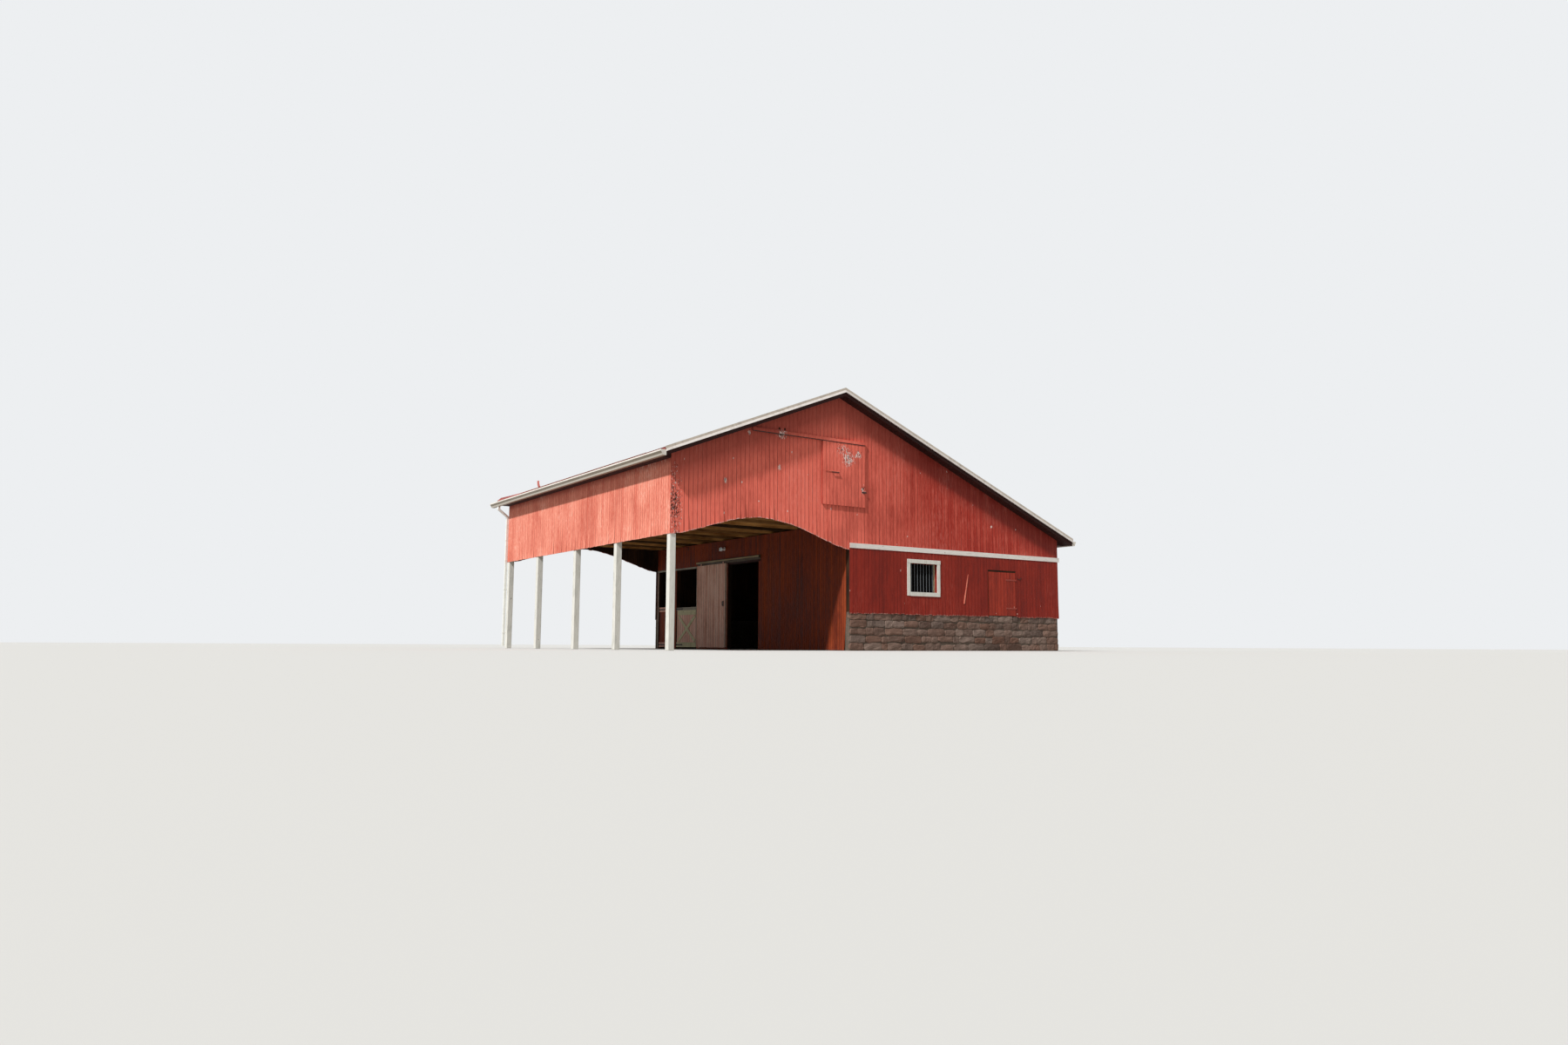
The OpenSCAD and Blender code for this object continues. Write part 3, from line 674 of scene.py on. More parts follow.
@dataclass(frozen=True)
class OldIron(Finish):
    """Forged iron gone brown-black, with rust in its pits."""

    slot: Slot = Slot.IRON
    sound: str = "#2E2B2A"
    rust: str = "#5A3826"
    rust_share: float = 0.5
    metallic: float = 0.6

    def dress(self, add: Add, place: Socket, shader: Node) -> None:
        """Adds rust patches to the shader.

        Args:
            add: Adds a node.
            place: Object coordinates.
            shader: Gets the look.
        """
        noise = add(NOISE, {"Vector": place, "Scale": 45.0, "Detail": 5.0})
        patch = add(RANGE, (noise, 0.42, 0.62, 0.0, self.rust_share))
        colour = add(MIX, {0: patch, 6: self.sound, 7: self.rust}, data_type="RGBA")
        rough = add(RANGE, (patch, 0.0, 1.0, 0.5, 0.9))
        wire(shader, {"Base Color": colour, "Roughness": rough, "Metallic": self.metallic})


@dataclass(frozen=True)
class LampGlass(Finish):
    """Pressed glass of a lamp: smooth, pale and slightly bluish."""

    slot: Slot = Slot.FITTING
    tint: str = "#C9D2D6"

    def dress(self, add: Add, place: Socket, shader: Node) -> None:
        """Adds faint prism ribs to the shader.

        Args:
            add: Adds a node.
            place: Object coordinates.
            shader: Gets the look.
        """
        ribs = add("ShaderNodeTexVoronoi", {"Vector": place, "Scale": 90.0})
        bump = add("ShaderNodeBump", {
            "Strength": 0.3, "Distance": 0.001, "Height": ribs.outputs["Distance"]})
        wire(shader, {"Base Color": self.tint, "Roughness": 0.12, "IOR": 1.5, "Normal": bump})


# Oil paint on pine siding, brick red; lighter at the front and darker at the rear, partly faded paint and
# partly painted light; darker under the roof as painted shade
FAR_GABLE_PAINT = PaintedBoards(
    "oil_paint_on_gable_pine", sound="#AC3427", faded="#F87B68", grime_and_shade="#4C150F", light_end_x=4600,
    dark_end_x=7400, foot_wear=0.4, wear=0.06, mildew=0.22, rim_dirt=0.75, fleck_share=0.26,
    streak_share=0.22, cloud_share=0.20, tone_share=0.18, roof_shade=(480, 950, 0.52))
# The same paint on the near gable, flaked off round the holes, the loft door and the front corner
GABLE_PAINT = replace(
    FAR_GABLE_PAINT, name="flaked_oil_paint_on_gable_pine", bare="#F0DED6", foot_wear=0.5, patches=(
        Patch(4690, 4500, 430, 480, 0.8), Patch(4990, 4640, 260, 260, 0.6, 0.4),
        Patch(4480, 4720, 420, 300, 0.4), Patch(2800, 4870, 340, 280, 0.7),
        Patch(80, 3060, 420, 1800, 0.24, 0.60),
        Patch(1334, 3690, 110, 190), Patch(1940, 4823, 90, 140), Patch(2751, 4100, 100, 180, 0.9),
        Patch(9408, 3205, 90, 110, 1.0, 0.0), Patch(5130, 3800, 160, 260, 0.6, 0.6)))
# The same paint low on the wall, darker: partly its own colour and partly painted shade
LOWER_PAINT = PaintedBoards(
    "dark_oil_paint_on_low_pine", sound="#701D15", faded="#A03325", foot_wear=0.4, wear=0.06, mildew=0.28,
    rim_dirt=0.6, fleck_share=0.32, streak_share=0.28, cloud_share=0.26, tone_share=0.18)
# The same paint on the hatch, lighter than the low wall round it, whose darkness is partly painted shade
HATCH_PAINT = PaintedBoards(
    "oil_paint_on_hatch_pine", sound="#8A2B1E", faded="#BA4431", wear=0.06, mildew=0.25, rim_dirt=0.7,
    cloud_share=0.26)
# The same paint burnt by the sun on the front: salmon, chalky, in pale and dark flecks, darker under the
# eave as painted shade
FRONT_PAINT = PaintedBoards(
    "sun_bleached_oil_paint_on_pine", Slot.FRONT_SIDING, sound="#CC5C48", faded="#FAA68E", grime_and_shade="#8E3426",
    bare="#FFD8C6", rot="#8A3A2C", mildew=0.25, wear=0.5, knots=0.9, chips=0.5, foot_wear=0.15, rim_dirt=0.8,
    fleck_mm=22, fleck_share=0.5, streak_mm=40, streak_share=0.30, cloud_share=0.28, roughness=0.8,
    roof_shade=(255, 420, 0.85))
# The same paint under the loft: dull orange-brown, darkened as painted shade of the loft
STABLE_SHADE_PAINT = PaintedBoards(
    "shaded_oil_paint_on_pine", sound="#5E1C09", faded="#943F1E", grime_and_shade="#1E0804", bare="#8F5F42", chips=0.15,
    rim_dirt=0.9, tone_share=0.6)
# Near-black red paint on rake boards, soffits and the strip in the door head: painted shade under the eaves
# and the track
SOFFIT_SHADE_PAINT = PaintedBoards(
    "painted_shade_on_soffit_pine", sound="#210B08", faded="#3D1813", grime_and_shade="#100504", bare="#4A3028",
    grain=Grain.ALONG_Y, chips=0.1)
# White lead paint on planed pine: bright, but greyed by mildew along the grain
TRIM_PAINT = PaintedBoards(
    "white_lead_paint_on_pine", Slot.WHITE_TRIM, sound="#E6E4DC", faded="#D6D3C8", grime_and_shade="#96978A",
    bare="#8C8272", rot="#5A5346", streak_mm=45, cloud_mm=350, mildew=0.42, knots=0.3, wear=0.3, chips=0.6,
    roughness=0.55)
# The same paint on level boards, which the rain washes cleaner
LEVEL_TRIM_PAINT = replace(
    TRIM_PAINT, name="white_lead_paint_on_level_pine", sound="#F2EDE7", faded="#DFD7D0", grime_and_shade="#A89E94",
    grain=Grain.ALONG_X, cloud_mm=500, mildew=0.3)
# Limed cream paint on a half door, worn to a greenish grey
CREAM_PAINT = PaintedBoards(
    "cream_paint_on_worn_pine", Slot.CREAM_WOOD, sound="#D6D0AC", faded="#B8B28C", grime_and_shade="#6A6448",
    bare="#8C8064", rot="#4E4632", cloud_mm=300, wear=0.6, chips=0.9, roughness=0.7)
# Brown stain faded to mauve on spruce boards: dull, with darker joints
DOOR_STAIN = PaintedBoards(
    "mauve_brown_stain_on_spruce", Slot.DOOR_BROWN, sound="#CF907A", faded="#F6D0C0", grime_and_shade="#3C231D",
    bare="#E0C6BA", rot="#4A2C24", chips=0.2, wear=0.4, rim_dirt=0.9, tone_share=0.5)
# Wood that lost its paint and silvered in the rain
SILVER_WOOD = PaintedBoards(
    "silvered_pine", Slot.CREAM_WOOD, sound="#8E887C", faded="#B0AA9C", grime_and_shade="#5A554A", bare="#C4BEB0",
    grain=Grain.ALONG_Y, cloud_mm=300, chips=0.1, roughness=0.85)
# Pine that never had paint, browned by the air of the stable
BACK_WOOD = PaintedBoards(
    "bare_pine_door_backs", Slot.OLD_TIMBER, sound="#6B4A32", faded="#97734F", grime_and_shade="#2A190E",
    bare="#A88A66", rot="#3A2214", chips=0.1, tone_share=0.5, roughness=0.85)
# Sawn framing timber with dark grain, the joists in alternating light and dark tones, partly painted light
# for lit and shaded joists
JOIST_WOOD = RoughTimber(
    "sawn_oak_joists", light="#D09A5A", dark="#865628", seam_mm=610, seam_axis=1, seam_start=-12.5,
    tone_low=0.10, tone_high=1.3, seam_dark=0.0, lit_and_shaded_alternate=0.55)
BEAM_WOOD = RoughTimber("sawn_oak_beam", light="#7A4E2A", dark="#3A2110", grain=Grain.ALONG_Y)
RAFTER_WOOD = RoughTimber("sawn_oak_rafters", light="#8A5C33", dark="#452A15")
FLOOR_WOOD = RoughTimber(
    "sawn_pine_floor", light="#7E5530", dark="#3A2312", grain=Grain.ALONG_Y, seam_mm=150, seam_axis=0)
# Bare pine behind the boards, kept dark so that gaps round boards and doors read dark: partly the wood's
# colour and partly painted shade
BOARD_BACKS_AND_GAP_SHADE = RoughTimber(
    "dark_pine_backs_and_gap_shade", light="#4A2F1B", dark="#22130A", grain=Grain.UPRIGHT, seam_mm=107)
WALL_BACKS_AND_GAP_SHADE = replace(BOARD_BACKS_AND_GAP_SHADE, name="dark_pine_wall_backs_and_gap_shade", seam_axis=1)
# Ribbed steel roofing with its factory red paint chalking in the sun
ROOF_PAINT = RoofPaint("chalked_red_steel_roofing")
# Cream enamelled steel gutters with olive dirt streaks; faces that look down are darker olive, which is
# painted shade
GUTTER_STEEL = PaintedSteel(
    "cream_enamelled_steel", sound="#E8E0D6", dirt_and_shade="#6A5C40", amount=0.22, underside_shade=0.8)
SPOUT_STEEL = PaintedSteel("cream_enamelled_spout_steel", sound="#EAEAE4", dirt_and_shade="#A6A190", amount=0.35)
# Near-black steel of the door track under its flashing: painted shade under the flashing
TRACK_SHADE_STEEL = PaintedSteel("dark_track_steel_as_shade", sound="#4A3A24", dirt_and_shade="#261B10", amount=0.7, gloss=0.5)
FLASHING_STEEL = PaintedSteel(
    "olive_painted_flashing_steel", sound="#A8946C", dirt_and_shade="#6A5638", amount=0.6, gloss=0.5)
DRIP_STEEL = PaintedSteel("tan_roof_edge_steel", sound="#D2C6B8", dirt_and_shade="#A0968A", amount=0.8, gloss=0.45)
# White enamelled edge strip that kicks out below it and so catches the light
STRIP_STEEL = PaintedSteel(
    "white_roof_edge_steel", Slot.WHITE_TRIM, sound="#DED6D0", dirt_and_shade="#A89C90", amount=0.5, gloss=0.5)
# Field stone laid in lime: brown, pitted, each stone its own tone
FIELD_STONE = Masonry("brown_field_stone", light="#86746A", dark="#3E302A")
LIME_MORTAR = Masonry("old_lime_mortar", light="#84776A", dark="#54473D", pit_mm=8)
# Hand-forged iron, black-brown with rust
HINGE_IRON = OldIron("forged_hinge_iron")
# Iron straps painted over with the red of the wall, rusty where it wore off
PAINTED_IRON = OldIron(
    "red_painted_strap_iron", sound="#94321F", rust="#5E2A1C", rust_share=0.15, metallic=0.0)
# Window bars in dull grey paint over iron
BAR_IRON = OldIron("grey_painted_bar_iron", sound="#4B4F52", rust="#3A312B", rust_share=0.35, metallic=0.2)
# White enamelled lamp housings
LAMP_ENAMEL = PaintedSteel("white_lamp_enamel", sound="#E8DCD8", dirt_and_shade="#9A988E", amount=0.4, gloss=0.3)
LAMP_GLASS = LampGlass("pressed_lamp_glass")


def new_object(name: str, data: bpy.types.ID) -> Piece:
    """Adds an object to the scene.

    Args:
        name: Its name.
        data: Its mesh, lamp or camera.

    Returns:
        The object.
    """
    made = bpy.data.objects.new(name, data)
    bpy.context.scene.collection.objects.link(made)
    return made


def hand_over(piece: Piece, body: Body) -> Piece:
    """Makes a finished piece ride on its body.

    Args:
        piece: The finished object, in place.
        body: The body that it moves with.

    Returns:
        The same object.
    """
    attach(piece, body.value)
    LOG.info("%s: %d faces on %s", piece.name, len(piece.data.polygons), body.value)
    return piece


def dress_nodes(finish: Finish, *names: str) -> None:
    """Gives nodes of the frame their finish.

    Args:
        finish: What covers them.
        *names: Names of the nodes.
    """
    for name in names:
        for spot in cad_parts[name].material_slots:
            spot.material = finish.material()
        LOG.info("%s: dressed with %s", name, finish.name)


class Joinery:
    """Boards, prisms and bars that are gathered into one mesh, in millimetres of the barn."""

    def __init__(self, name: str, *boxes: tuple[Span, Span, Span]) -> None:
        """Starts a piece.

        Args:
            name: Name of the piece.
            *boxes: Starts and ends along x, y and z of its first boards.
        """
        self.name = name
        self.mesh = bmesh.new()
        for box in boxes:
            self.board(*box)

    def prism(self, outline: list[Vector], push: Vector) -> None:
        """Adds a flat outline pushed through a distance, in metres."""
        self.between(outline, [p + push for p in outline])

    def between(self, first: list[Vector], last: list[Vector]) -> None:
        """Adds a solid between two outlines with as many corners each.

        Args:
            first: Corners in metres of the shared frame, in order.
            last: Where each of them ends.
        """
        low = [self.mesh.verts.new(p) for p in first]
        high = [self.mesh.verts.new(p) for p in last]
        count = len(low)
        faces = [self.mesh.faces.new(low), self.mesh.faces.new(high[::-1])]
        for i in range(count):
            j = (i + 1) % count
            faces.append(self.mesh.faces.new((low[j], low[i], high[i], high[j])))
        bmesh.ops.recalc_face_normals(self.mesh, faces=faces)

    def board(self, x: Span, y: Span, z: Span) -> None:
        """Adds a box between two corners given in millimetres of the barn."""
        corners = [at(x[0], y[0], z[0]), at(x[1], y[0], z[0]), at(x[1], y[1], z[0]), at(x[0], y[1], z[0])]
        self.prism(corners, Vector((0, 0, (z[1] - z[0]) / 1000)))

    def bar(self, start: Vector, end: Vector, diameter: float, sides: int = 12,
            end_diameter: float | None = None) -> None:
        """Adds a round bar between two points in metres.

        Args:
            start: Middle of its first end.
            end: Middle of its other end.
            diameter: Diameter in metres at the start.
            sides: Facets round the bar.
            end_diameter: Diameter at the other end, if it tapers.
        """
        run = end - start
        turn = run.to_track_quat("Z", "Y").to_matrix().to_4x4()
        place = Matrix.Translation((start + end) / 2) @ turn
        last = diameter if end_diameter is None else end_diameter
        bmesh.ops.create_cone(self.mesh, cap_ends=True, segments=sides, radius1=diameter / 2,
                              radius2=last / 2, depth=run.length, matrix=place)

    def bent(self, path: list[Vector], diameter: float) -> None:
        """Adds a thin bar bent through points in metres."""
        for start, end in zip(path, path[1:]):
            self.bar(start, end, diameter, sides=8)

    def done(self, finish: Finish, body: Body = Body.BARN, chamfer: float = 0.0) -> Piece:
        """Turns what was gathered into a dressed object that rides on a body.

        Args:
            finish: The piece's finish.
            body: The body that it rides on.
            chamfer: Width in metres by which every sharp edge is broken.

        Returns:
            The finished object.
        """
        if chamfer > 0:
            sharp = [e for e in self.mesh.edges if e.is_manifold and e.calc_face_angle(0.0) > 0.5]
            bmesh.ops.bevel(self.mesh, geom=sharp, offset=chamfer, segments=1, profile=0.5,
                            affect="EDGES", clamp_overlap=True)
        data = bpy.data.meshes.new(self.name)
        self.mesh.to_mesh(data)
        self.mesh.free()
        data.materials.append(finish.material())
        return hand_over(new_object(self.name, data), body)


class Pattern:
    """A Geometry Nodes tree with named inputs that repeats a shape."""

    def __init__(self, name: str, sizes: dict[str, str]) -> None:
        """Makes an empty tree.

        Args:
            name: Name of the tree.
            sizes: Input name to its socket type, between the geometry and the material.
        """
        self.tree = bpy.data.node_groups.new(name, "GeometryNodeTree")
        face = self.tree.interface
        face.new_socket("Geometry", in_out="INPUT", socket_type="NodeSocketGeometry")
        for label, kind in (sizes | {"Material": "NodeSocketMaterial"}).items():
            face.new_socket(label, in_out="INPUT", socket_type=kind)
        face.new_socket("Geometry", in_out="OUTPUT", socket_type="NodeSocketGeometry")
        self.add = partial(add_node, self.tree)
        self.inputs = self.add("NodeGroupInput").outputs

    def close(self, geometry: Socket | Node) -> None:
        """Ends the tree: real mesh, flat faces, material.

        Args:
            geometry: What the tree has made.
        """
        real = self.add("GeometryNodeRealizeInstances", {"Geometry": geometry})
        flat = self.add("GeometryNodeSetShadeSmooth", {0: real, "Shade Smooth": False})
        coat = self.add("GeometryNodeSetMaterial", {"Geometry": flat, "Material": self.inputs["Material"]})
        self.add("NodeGroupOutput", (coat,))

    def grow(self, name: str, sizes: dict[str, object], finish: Finish, body: Body = Body.BARN,
             points: Iterable[Vector] = (), marks: dict[str, list] | None = None) -> Piece:
        """Runs the tree on points and keeps the result as a plain object.

        Args:
            name: Name of the piece.
            sizes: Values of the tree's inputs by name.
            finish: The piece's finish.
            body: The body that it rides on.
            points: Points in metres, for a tree that starts from points.
            marks: Attribute name to its value at each point, a number or three of them.

        Returns:
            The finished object.
        """
        mesh = bpy.data.meshes.new(name)
        mesh.from_pydata(points, [], [])
        for label, values in (marks or {}).items():
            kind = {int: "INT", float: "FLOAT"}.get(type(values[0]), "FLOAT_VECTOR")
            spots = mesh.attributes.new(label, kind, "POINT").data
            if kind == "FLOAT_VECTOR":
                spots.foreach_set("vector", [c for value in values for c in value])
            else:
                spots.foreach_set("value", values)
        piece = new_object(name, mesh)
        modifier = piece.modifiers.new("pattern", "NODES")
        modifier.node_group = self.tree
        values = dict(sizes, Material=finish.material())
        for item in self.tree.interface.items_tree:
            if item.item_type == "SOCKET" and item.in_out == "INPUT" and item.name in values:
                modifier[item.identifier] = values[item.name]
        piece.update_tag()
        graph = bpy.context.evaluated_depsgraph_get()
        data = bpy.data.meshes.new_from_object(piece.evaluated_get(graph), depsgraph=graph)
        piece.modifiers.remove(modifier)
        piece.data = data
        data.name = name
        return hand_over(piece, body)


@dataclass(frozen=True)
class Board:
    """One piece of a siding board: its middle at height 0, its directions and its ends.

    Pieces of one board on both sides of a notch share its number, and their rim tells how far
    their sides lie from its middle.
    """

    number: int
    base: Vector
    across: Vector
    outward: Vector
    along: Vector
    width: float
    foot: Span
    head: Span
    rim: Span
    drop: float
    loose: float


@dataclass
class BoardFace:
    """A flat face covered with boards of one width, notched round its openings.

    Distances run along `run` from the origin, heights along `along`, all in metres.
    """

    origin: Vector
    run: Vector
    outward: Vector
    along: Vector
    start: float
    end: float
    pitch: float
    foot: Edge
    head: Edge
    openings: list[tuple[float, float, float, float]] = field(default_factory=list)
    drop: Edge = lambda _: 0.0
    loose: bool = True
    gap: float = 0.004

    def piece(self, number: int, sides: Span, board: Span,
              foot: Span, head: Span, loose: bool) -> Board:
        """Makes one piece of a board with its sides in right-handed order.

        Args:
            number: The board that it belongs to.
            sides: Where the piece starts and ends.
            board: Where the whole board starts and ends.
            foot: Height of its foot at both sides.
            head: Height of its head at both sides.
            loose: Whether its foot hangs free and can curl.

        Returns:
            The piece.
        """
        across = self.outward.cross(self.along)
        middle, width = sum(board) / 2, board[1] - board[0]
        rim = tuple((s - middle) / width for s in sides)
        if across.dot(self.run) < 0:
            foot, head, rim = foot[::-1], head[::-1], rim[::-1]
        return Board(number, self.origin + self.run * sum(sides) / 2, across, self.outward, self.along,
                     sides[1] - sides[0], foot, head, rim, self.drop(middle), float(loose))

    def boards(self, first: int) -> list[Board]:
        """Cuts the face into boards.

        Args:
            first: Number of the first board.

        Returns:
            The boards, notched where an opening crosses them.
        """
        made = []
        count = max(1, round((self.end - self.start) / self.pitch))
        step = (self.end - self.start) / count
        for i in range(count):
            low = self.start + i * step + self.gap / 2
            high = self.start + (i + 1) * step - self.gap / 2
            cuts = {c for o in self.openings for c in o[:2] if low < c < high}
            marks = sorted({low, high} | cuts)
            for sides in zip(marks, marks[1:]):
                middle = sum(sides) / 2
                foot = tuple(self.foot(s) for s in sides)
                head = tuple(self.head(s) for s in sides)
                crossed = sorted((o for o in self.openings if o[0] < middle < o[1]), key=lambda o: o[2])
                loose = self.loose
                for _, _, sill, top in crossed:
                    if sill > max(foot):
                        made.append(self.piece(first + i, sides, (low, high), foot, (sill, sill), loose))
                    foot, loose = (top, top), False
                if max(foot) < min(head):
                    made.append(self.piece(first + i, sides, (low, high), foot, head, loose))
        return made


class BoardPattern(Pattern):
    """Turns one point for each piece of board into a thin board with a ragged, curled foot."""

    NUMBERS = ("width", "foot_a", "foot_b", "head_a", "head_b", "rim_a", "rim_b", "drop", "loose")
    VECTORS = ("base", "across", "outward", "along")

    def __init__(self) -> None:
        """Builds the tree."""
        super().__init__("siding_boards", {
            "Thickness": "NodeSocketFloat", "Ragged": "NodeSocketFloat", "Curl": "NodeSocketFloat",
            "Seed": "NodeSocketInt"})
        add, inputs = self.add, self.inputs
        points = inputs["Geometry"]
        number = add(READ, {"Name": "number"}, data_type="INT")
        for offset, name in enumerate(("tone", "shift", "bend")):
            seed = add(MATH, (inputs["Seed"], float(offset)), operation="ADD")
            value = add("FunctionNodeRandomValue", {"ID": number, "Seed": seed})
            points = add(STORE, {"Geometry": points, "Name": name, "Value": value}).outputs[0]
        blank = add("GeometryNodeMeshCube", {
            "Size": (1, 1, 1), "Vertices X": 2, "Vertices Y": 2, "Vertices Z": 6})
        here = add("GeometryNodeInputPosition")
        marked = add(STORE, {"Geometry": blank, "Name": "blank", "Value": here}, data_type="FLOAT_VECTOR")
        copies = add("GeometryNodeInstanceOnPoints", {"Points": points, "Instance": marked})
        real = add("GeometryNodeRealizeInstances", {"Geometry": copies})
        read = {name: add(READ, {"Name": name}) for name in (*self.NUMBERS, "shift", "bend")}
        read |= {
            name: add(READ, {"Name": name}, data_type="FLOAT_VECTOR") for name in (*self.VECTORS, "blank")}
        part = add("ShaderNodeSeparateXYZ", (read["blank"],)).outputs
        side = add(MATH, (part[0], 0.5), operation="ADD")
        face = add(MATH, (part[1], 0.5), operation="ADD")
        rise = add(MATH, (part[2], 0.5), operation="ADD")
        sideways = add(MATH, (part[0], read["width"]), operation="MULTIPLY")
        # Values at this side of the board
        foot, head, rim = (add(MIX, {
            0: side, 2: read[label + "_a"], 3: read[label + "_b"]})
            for label in ("foot", "head", "rim"))
        ragged = add(MATH, (read["shift"], inputs["Ragged"], read["drop"]), operation="MULTIPLY_ADD")
        ragged = add(MATH, (ragged, read["loose"]), operation="MULTIPLY")
        foot = add(MATH, (foot, ragged), operation="SUBTRACT")
        height = add(MIX, {0: rise, 2: foot, 3: head})
        # The foot curls outwards over its last stretch
        low = add(MATH, (1.0, rise), operation="SUBTRACT")
        low = add(MATH, (low, 7.0), operation="POWER")
        curl = add(MATH, (read["bend"], 3.0), operation="POWER")
        for factor in (inputs["Curl"], read["loose"], low):
            curl = add(MATH, (curl, factor), operation="MULTIPLY")
        out = add(MATH, (face, inputs["Thickness"], curl), operation="MULTIPLY_ADD")
        place = read["base"]
        for name, amount in (("across", sideways), ("outward", out), ("along", height)):
            step = add(VECTOR_MATH, {0: read[name], "Scale": amount}, operation="SCALE")
            place = add(VECTOR_MATH, (place, step), operation="ADD")
        placed = add("GeometryNodeSetPosition", {"Geometry": real, "Position": place})
        reach = add(MATH, (height, foot), operation="SUBTRACT")
        fixed = add(MATH, (1.001, read["loose"]), operation="SUBTRACT")
        reach = add(MATH, (reach, fixed), operation="ADD")
        for name, value in (("rim", rim), ("reach", reach)):
            placed = add(STORE, {"Geometry": placed, "Name": name, "Value": value}).outputs[0]
        for name in (*self.VECTORS, *self.NUMBERS, "blank", "number", "shift", "bend"):
            placed = add("GeometryNodeRemoveAttribute", {"Geometry": placed, "Name": name})
        self.close(placed)

    def cover(self, name: str, faces: list[BoardFace], finish: Finish,
              body: Body = Body.BARN, thickness: float = 0.010, ragged: float = 0.0, curl: float = 0.0,
              seed: int = 1) -> Piece:
        """Covers faces with boards.

        Args:
            name: Name of the piece.
            faces: The faces to cover.
            finish: Finish of the boards.
            body: Body that they ride on.
            thickness: Thickness in metres.
            ragged: Most that a loose foot hangs lower, in metres.
            curl: Most that a loose foot curls outwards, in metres.
            seed: Seed of the boards' tones and ends.

        Returns:
            The boards as one object.
        """
        boards: list[Board] = []
        for face in faces:
            boards += face.boards(first=len(boards))
        marks = {label: [float(getattr(b, label)) for b in boards] for label in ("width", "drop", "loose")}
        for label in ("foot", "head", "rim"):
            marks[label + "_a"] = [getattr(b, label)[0] for b in boards]
            marks[label + "_b"] = [getattr(b, label)[1] for b in boards]
        marks |= {label: [getattr(b, label) for b in boards] for label in (*self.VECTORS, "number")}
        return self.grow(name, {"Thickness": thickness, "Ragged": ragged, "Curl": curl, "Seed": seed},
                         finish, body, [b.base for b in boards], marks)


class RowPattern(Pattern):
    """Repeats one shape in even steps."""

    def __init__(self, name: str, sizes: dict[str, str]) -> None:
        """Makes the inputs of the row and of its shape.

        Args:
            name: Name of the tree.
            sizes: The shape's own input names to their socket types.
        """
        super().__init__(name, {
            "Count": "NodeSocketInt", "First": "NodeSocketVector", "Step": "NodeSocketVector"} | sizes)

    def repeat(self, shape: Node) -> None:
        """Ends the tree with copies of the shape.

        Args:
            shape: The node that makes it.
        """
        add, inputs = self.add, self.inputs
        spots = add("GeometryNodeMeshLine", {"Count": inputs["Count"], "Start Location": inputs["First"],
                                             "Offset": inputs["Step"]}, mode="OFFSET")
        self.close(add("GeometryNodeInstanceOnPoints", {"Points": spots, "Instance": shape}))


class RibPattern(RowPattern):
    """Lays ribs of trapezoid section side by side along a roof slope."""

    def __init__(self) -> None:
        """Builds the tree."""
        super().__init__("roof_ribs", {
            "Slope": "NodeSocketVector", "Width": "NodeSocketFloat", "Height": "NodeSocketFloat"})
        add, inputs = self.add, self.inputs
        path = add("GeometryNodeCurvePrimitiveLine", {"End": inputs["Slope"]}, mode="POINTS")
        top = add(MATH, (inputs["Width"], 0.45), operation="MULTIPLY")
        section = add("GeometryNodeCurvePrimitiveQuadrilateral", {
            "Bottom Width": inputs["Width"], "Top Width": top, "Height": inputs["Height"], "Offset": 0.0},
            mode="TRAPEZOID")
        self.repeat(add("GeometryNodeCurveToMesh", {
            "Curve": path, "Profile Curve": section, "Fill Caps": True}))


class BarPattern(RowPattern):
    """Sets upright round bars side by side."""

    def __init__(self) -> None:
        """Builds the tree."""
        super().__init__("upright_bars", {"Length": "NodeSocketFloat", "Diameter": "NodeSocketFloat"})
        add, inputs = self.add, self.inputs
        radius = add(MATH, (inputs["Diameter"], 0.5), operation="MULTIPLY")
        self.repeat(add("GeometryNodeMeshCylinder", {
            "Vertices": 10, "Radius": radius, "Depth": inputs["Length"]}))


class StrapPattern(RowPattern):
    """Repeats a flat strap along a line."""

    def __init__(self) -> None:
        """Builds the tree."""
        super().__init__("flat_straps", {"Size": "NodeSocketVector"})
        self.repeat(self.add("GeometryNodeMeshCube", {"Size": self.inputs["Size"]}))


class StonePattern(Pattern):
    """Lays rough stones on points that stand for their middles."""

    def __init__(self) -> None:
        """Builds the tree."""
        super().__init__("field_stones", {"Seed": "NodeSocketInt", "Rough": "NodeSocketFloat"})
        add, inputs = self.add, self.inputs
        tone = add("FunctionNodeRandomValue", {"Seed": inputs["Seed"]})
        points = add(STORE, {"Geometry": inputs["Geometry"], "Name": "tone", "Value": tone})
        size = add(READ, {"Name": "size"}, data_type="FLOAT_VECTOR")
        block = add("GeometryNodeMeshCube", {"Size": (0.94, 0.94, 0.94)})
        round_block = add("GeometryNodeSubdivisionSurface", {"Mesh": block, "Level": 2, "Edge Crease": 0.4})
        copies = add("GeometryNodeInstanceOnPoints", {
            "Points": points, "Instance": round_block, "Scale": size})
        real = add("GeometryNodeRealizeInstances", {"Geometry": copies})
        noise = add(NOISE, {"Scale": 7.0, "Detail": 2.0})
        off = add(VECTOR_MATH, (noise.outputs["Color"], (0.5, 0.5, 0.5)), operation="SUBTRACT")
        off = add(VECTOR_MATH, {0: off, "Scale": inputs["Rough"]}, operation="SCALE")
        moved = add("GeometryNodeSetPosition", {"Geometry": real, "Offset": off})
        # The lowest course is cut level at the floor
        above = add(VECTOR_MATH, (add("GeometryNodeInputPosition"), (-99, -99, 0)), operation="MAXIMUM")
        level_foot = add("GeometryNodeSetPosition", {"Geometry": moved, "Position": above})
        self.close(add("GeometryNodeRemoveAttribute", {"Geometry": level_foot, "Name": "size"}))


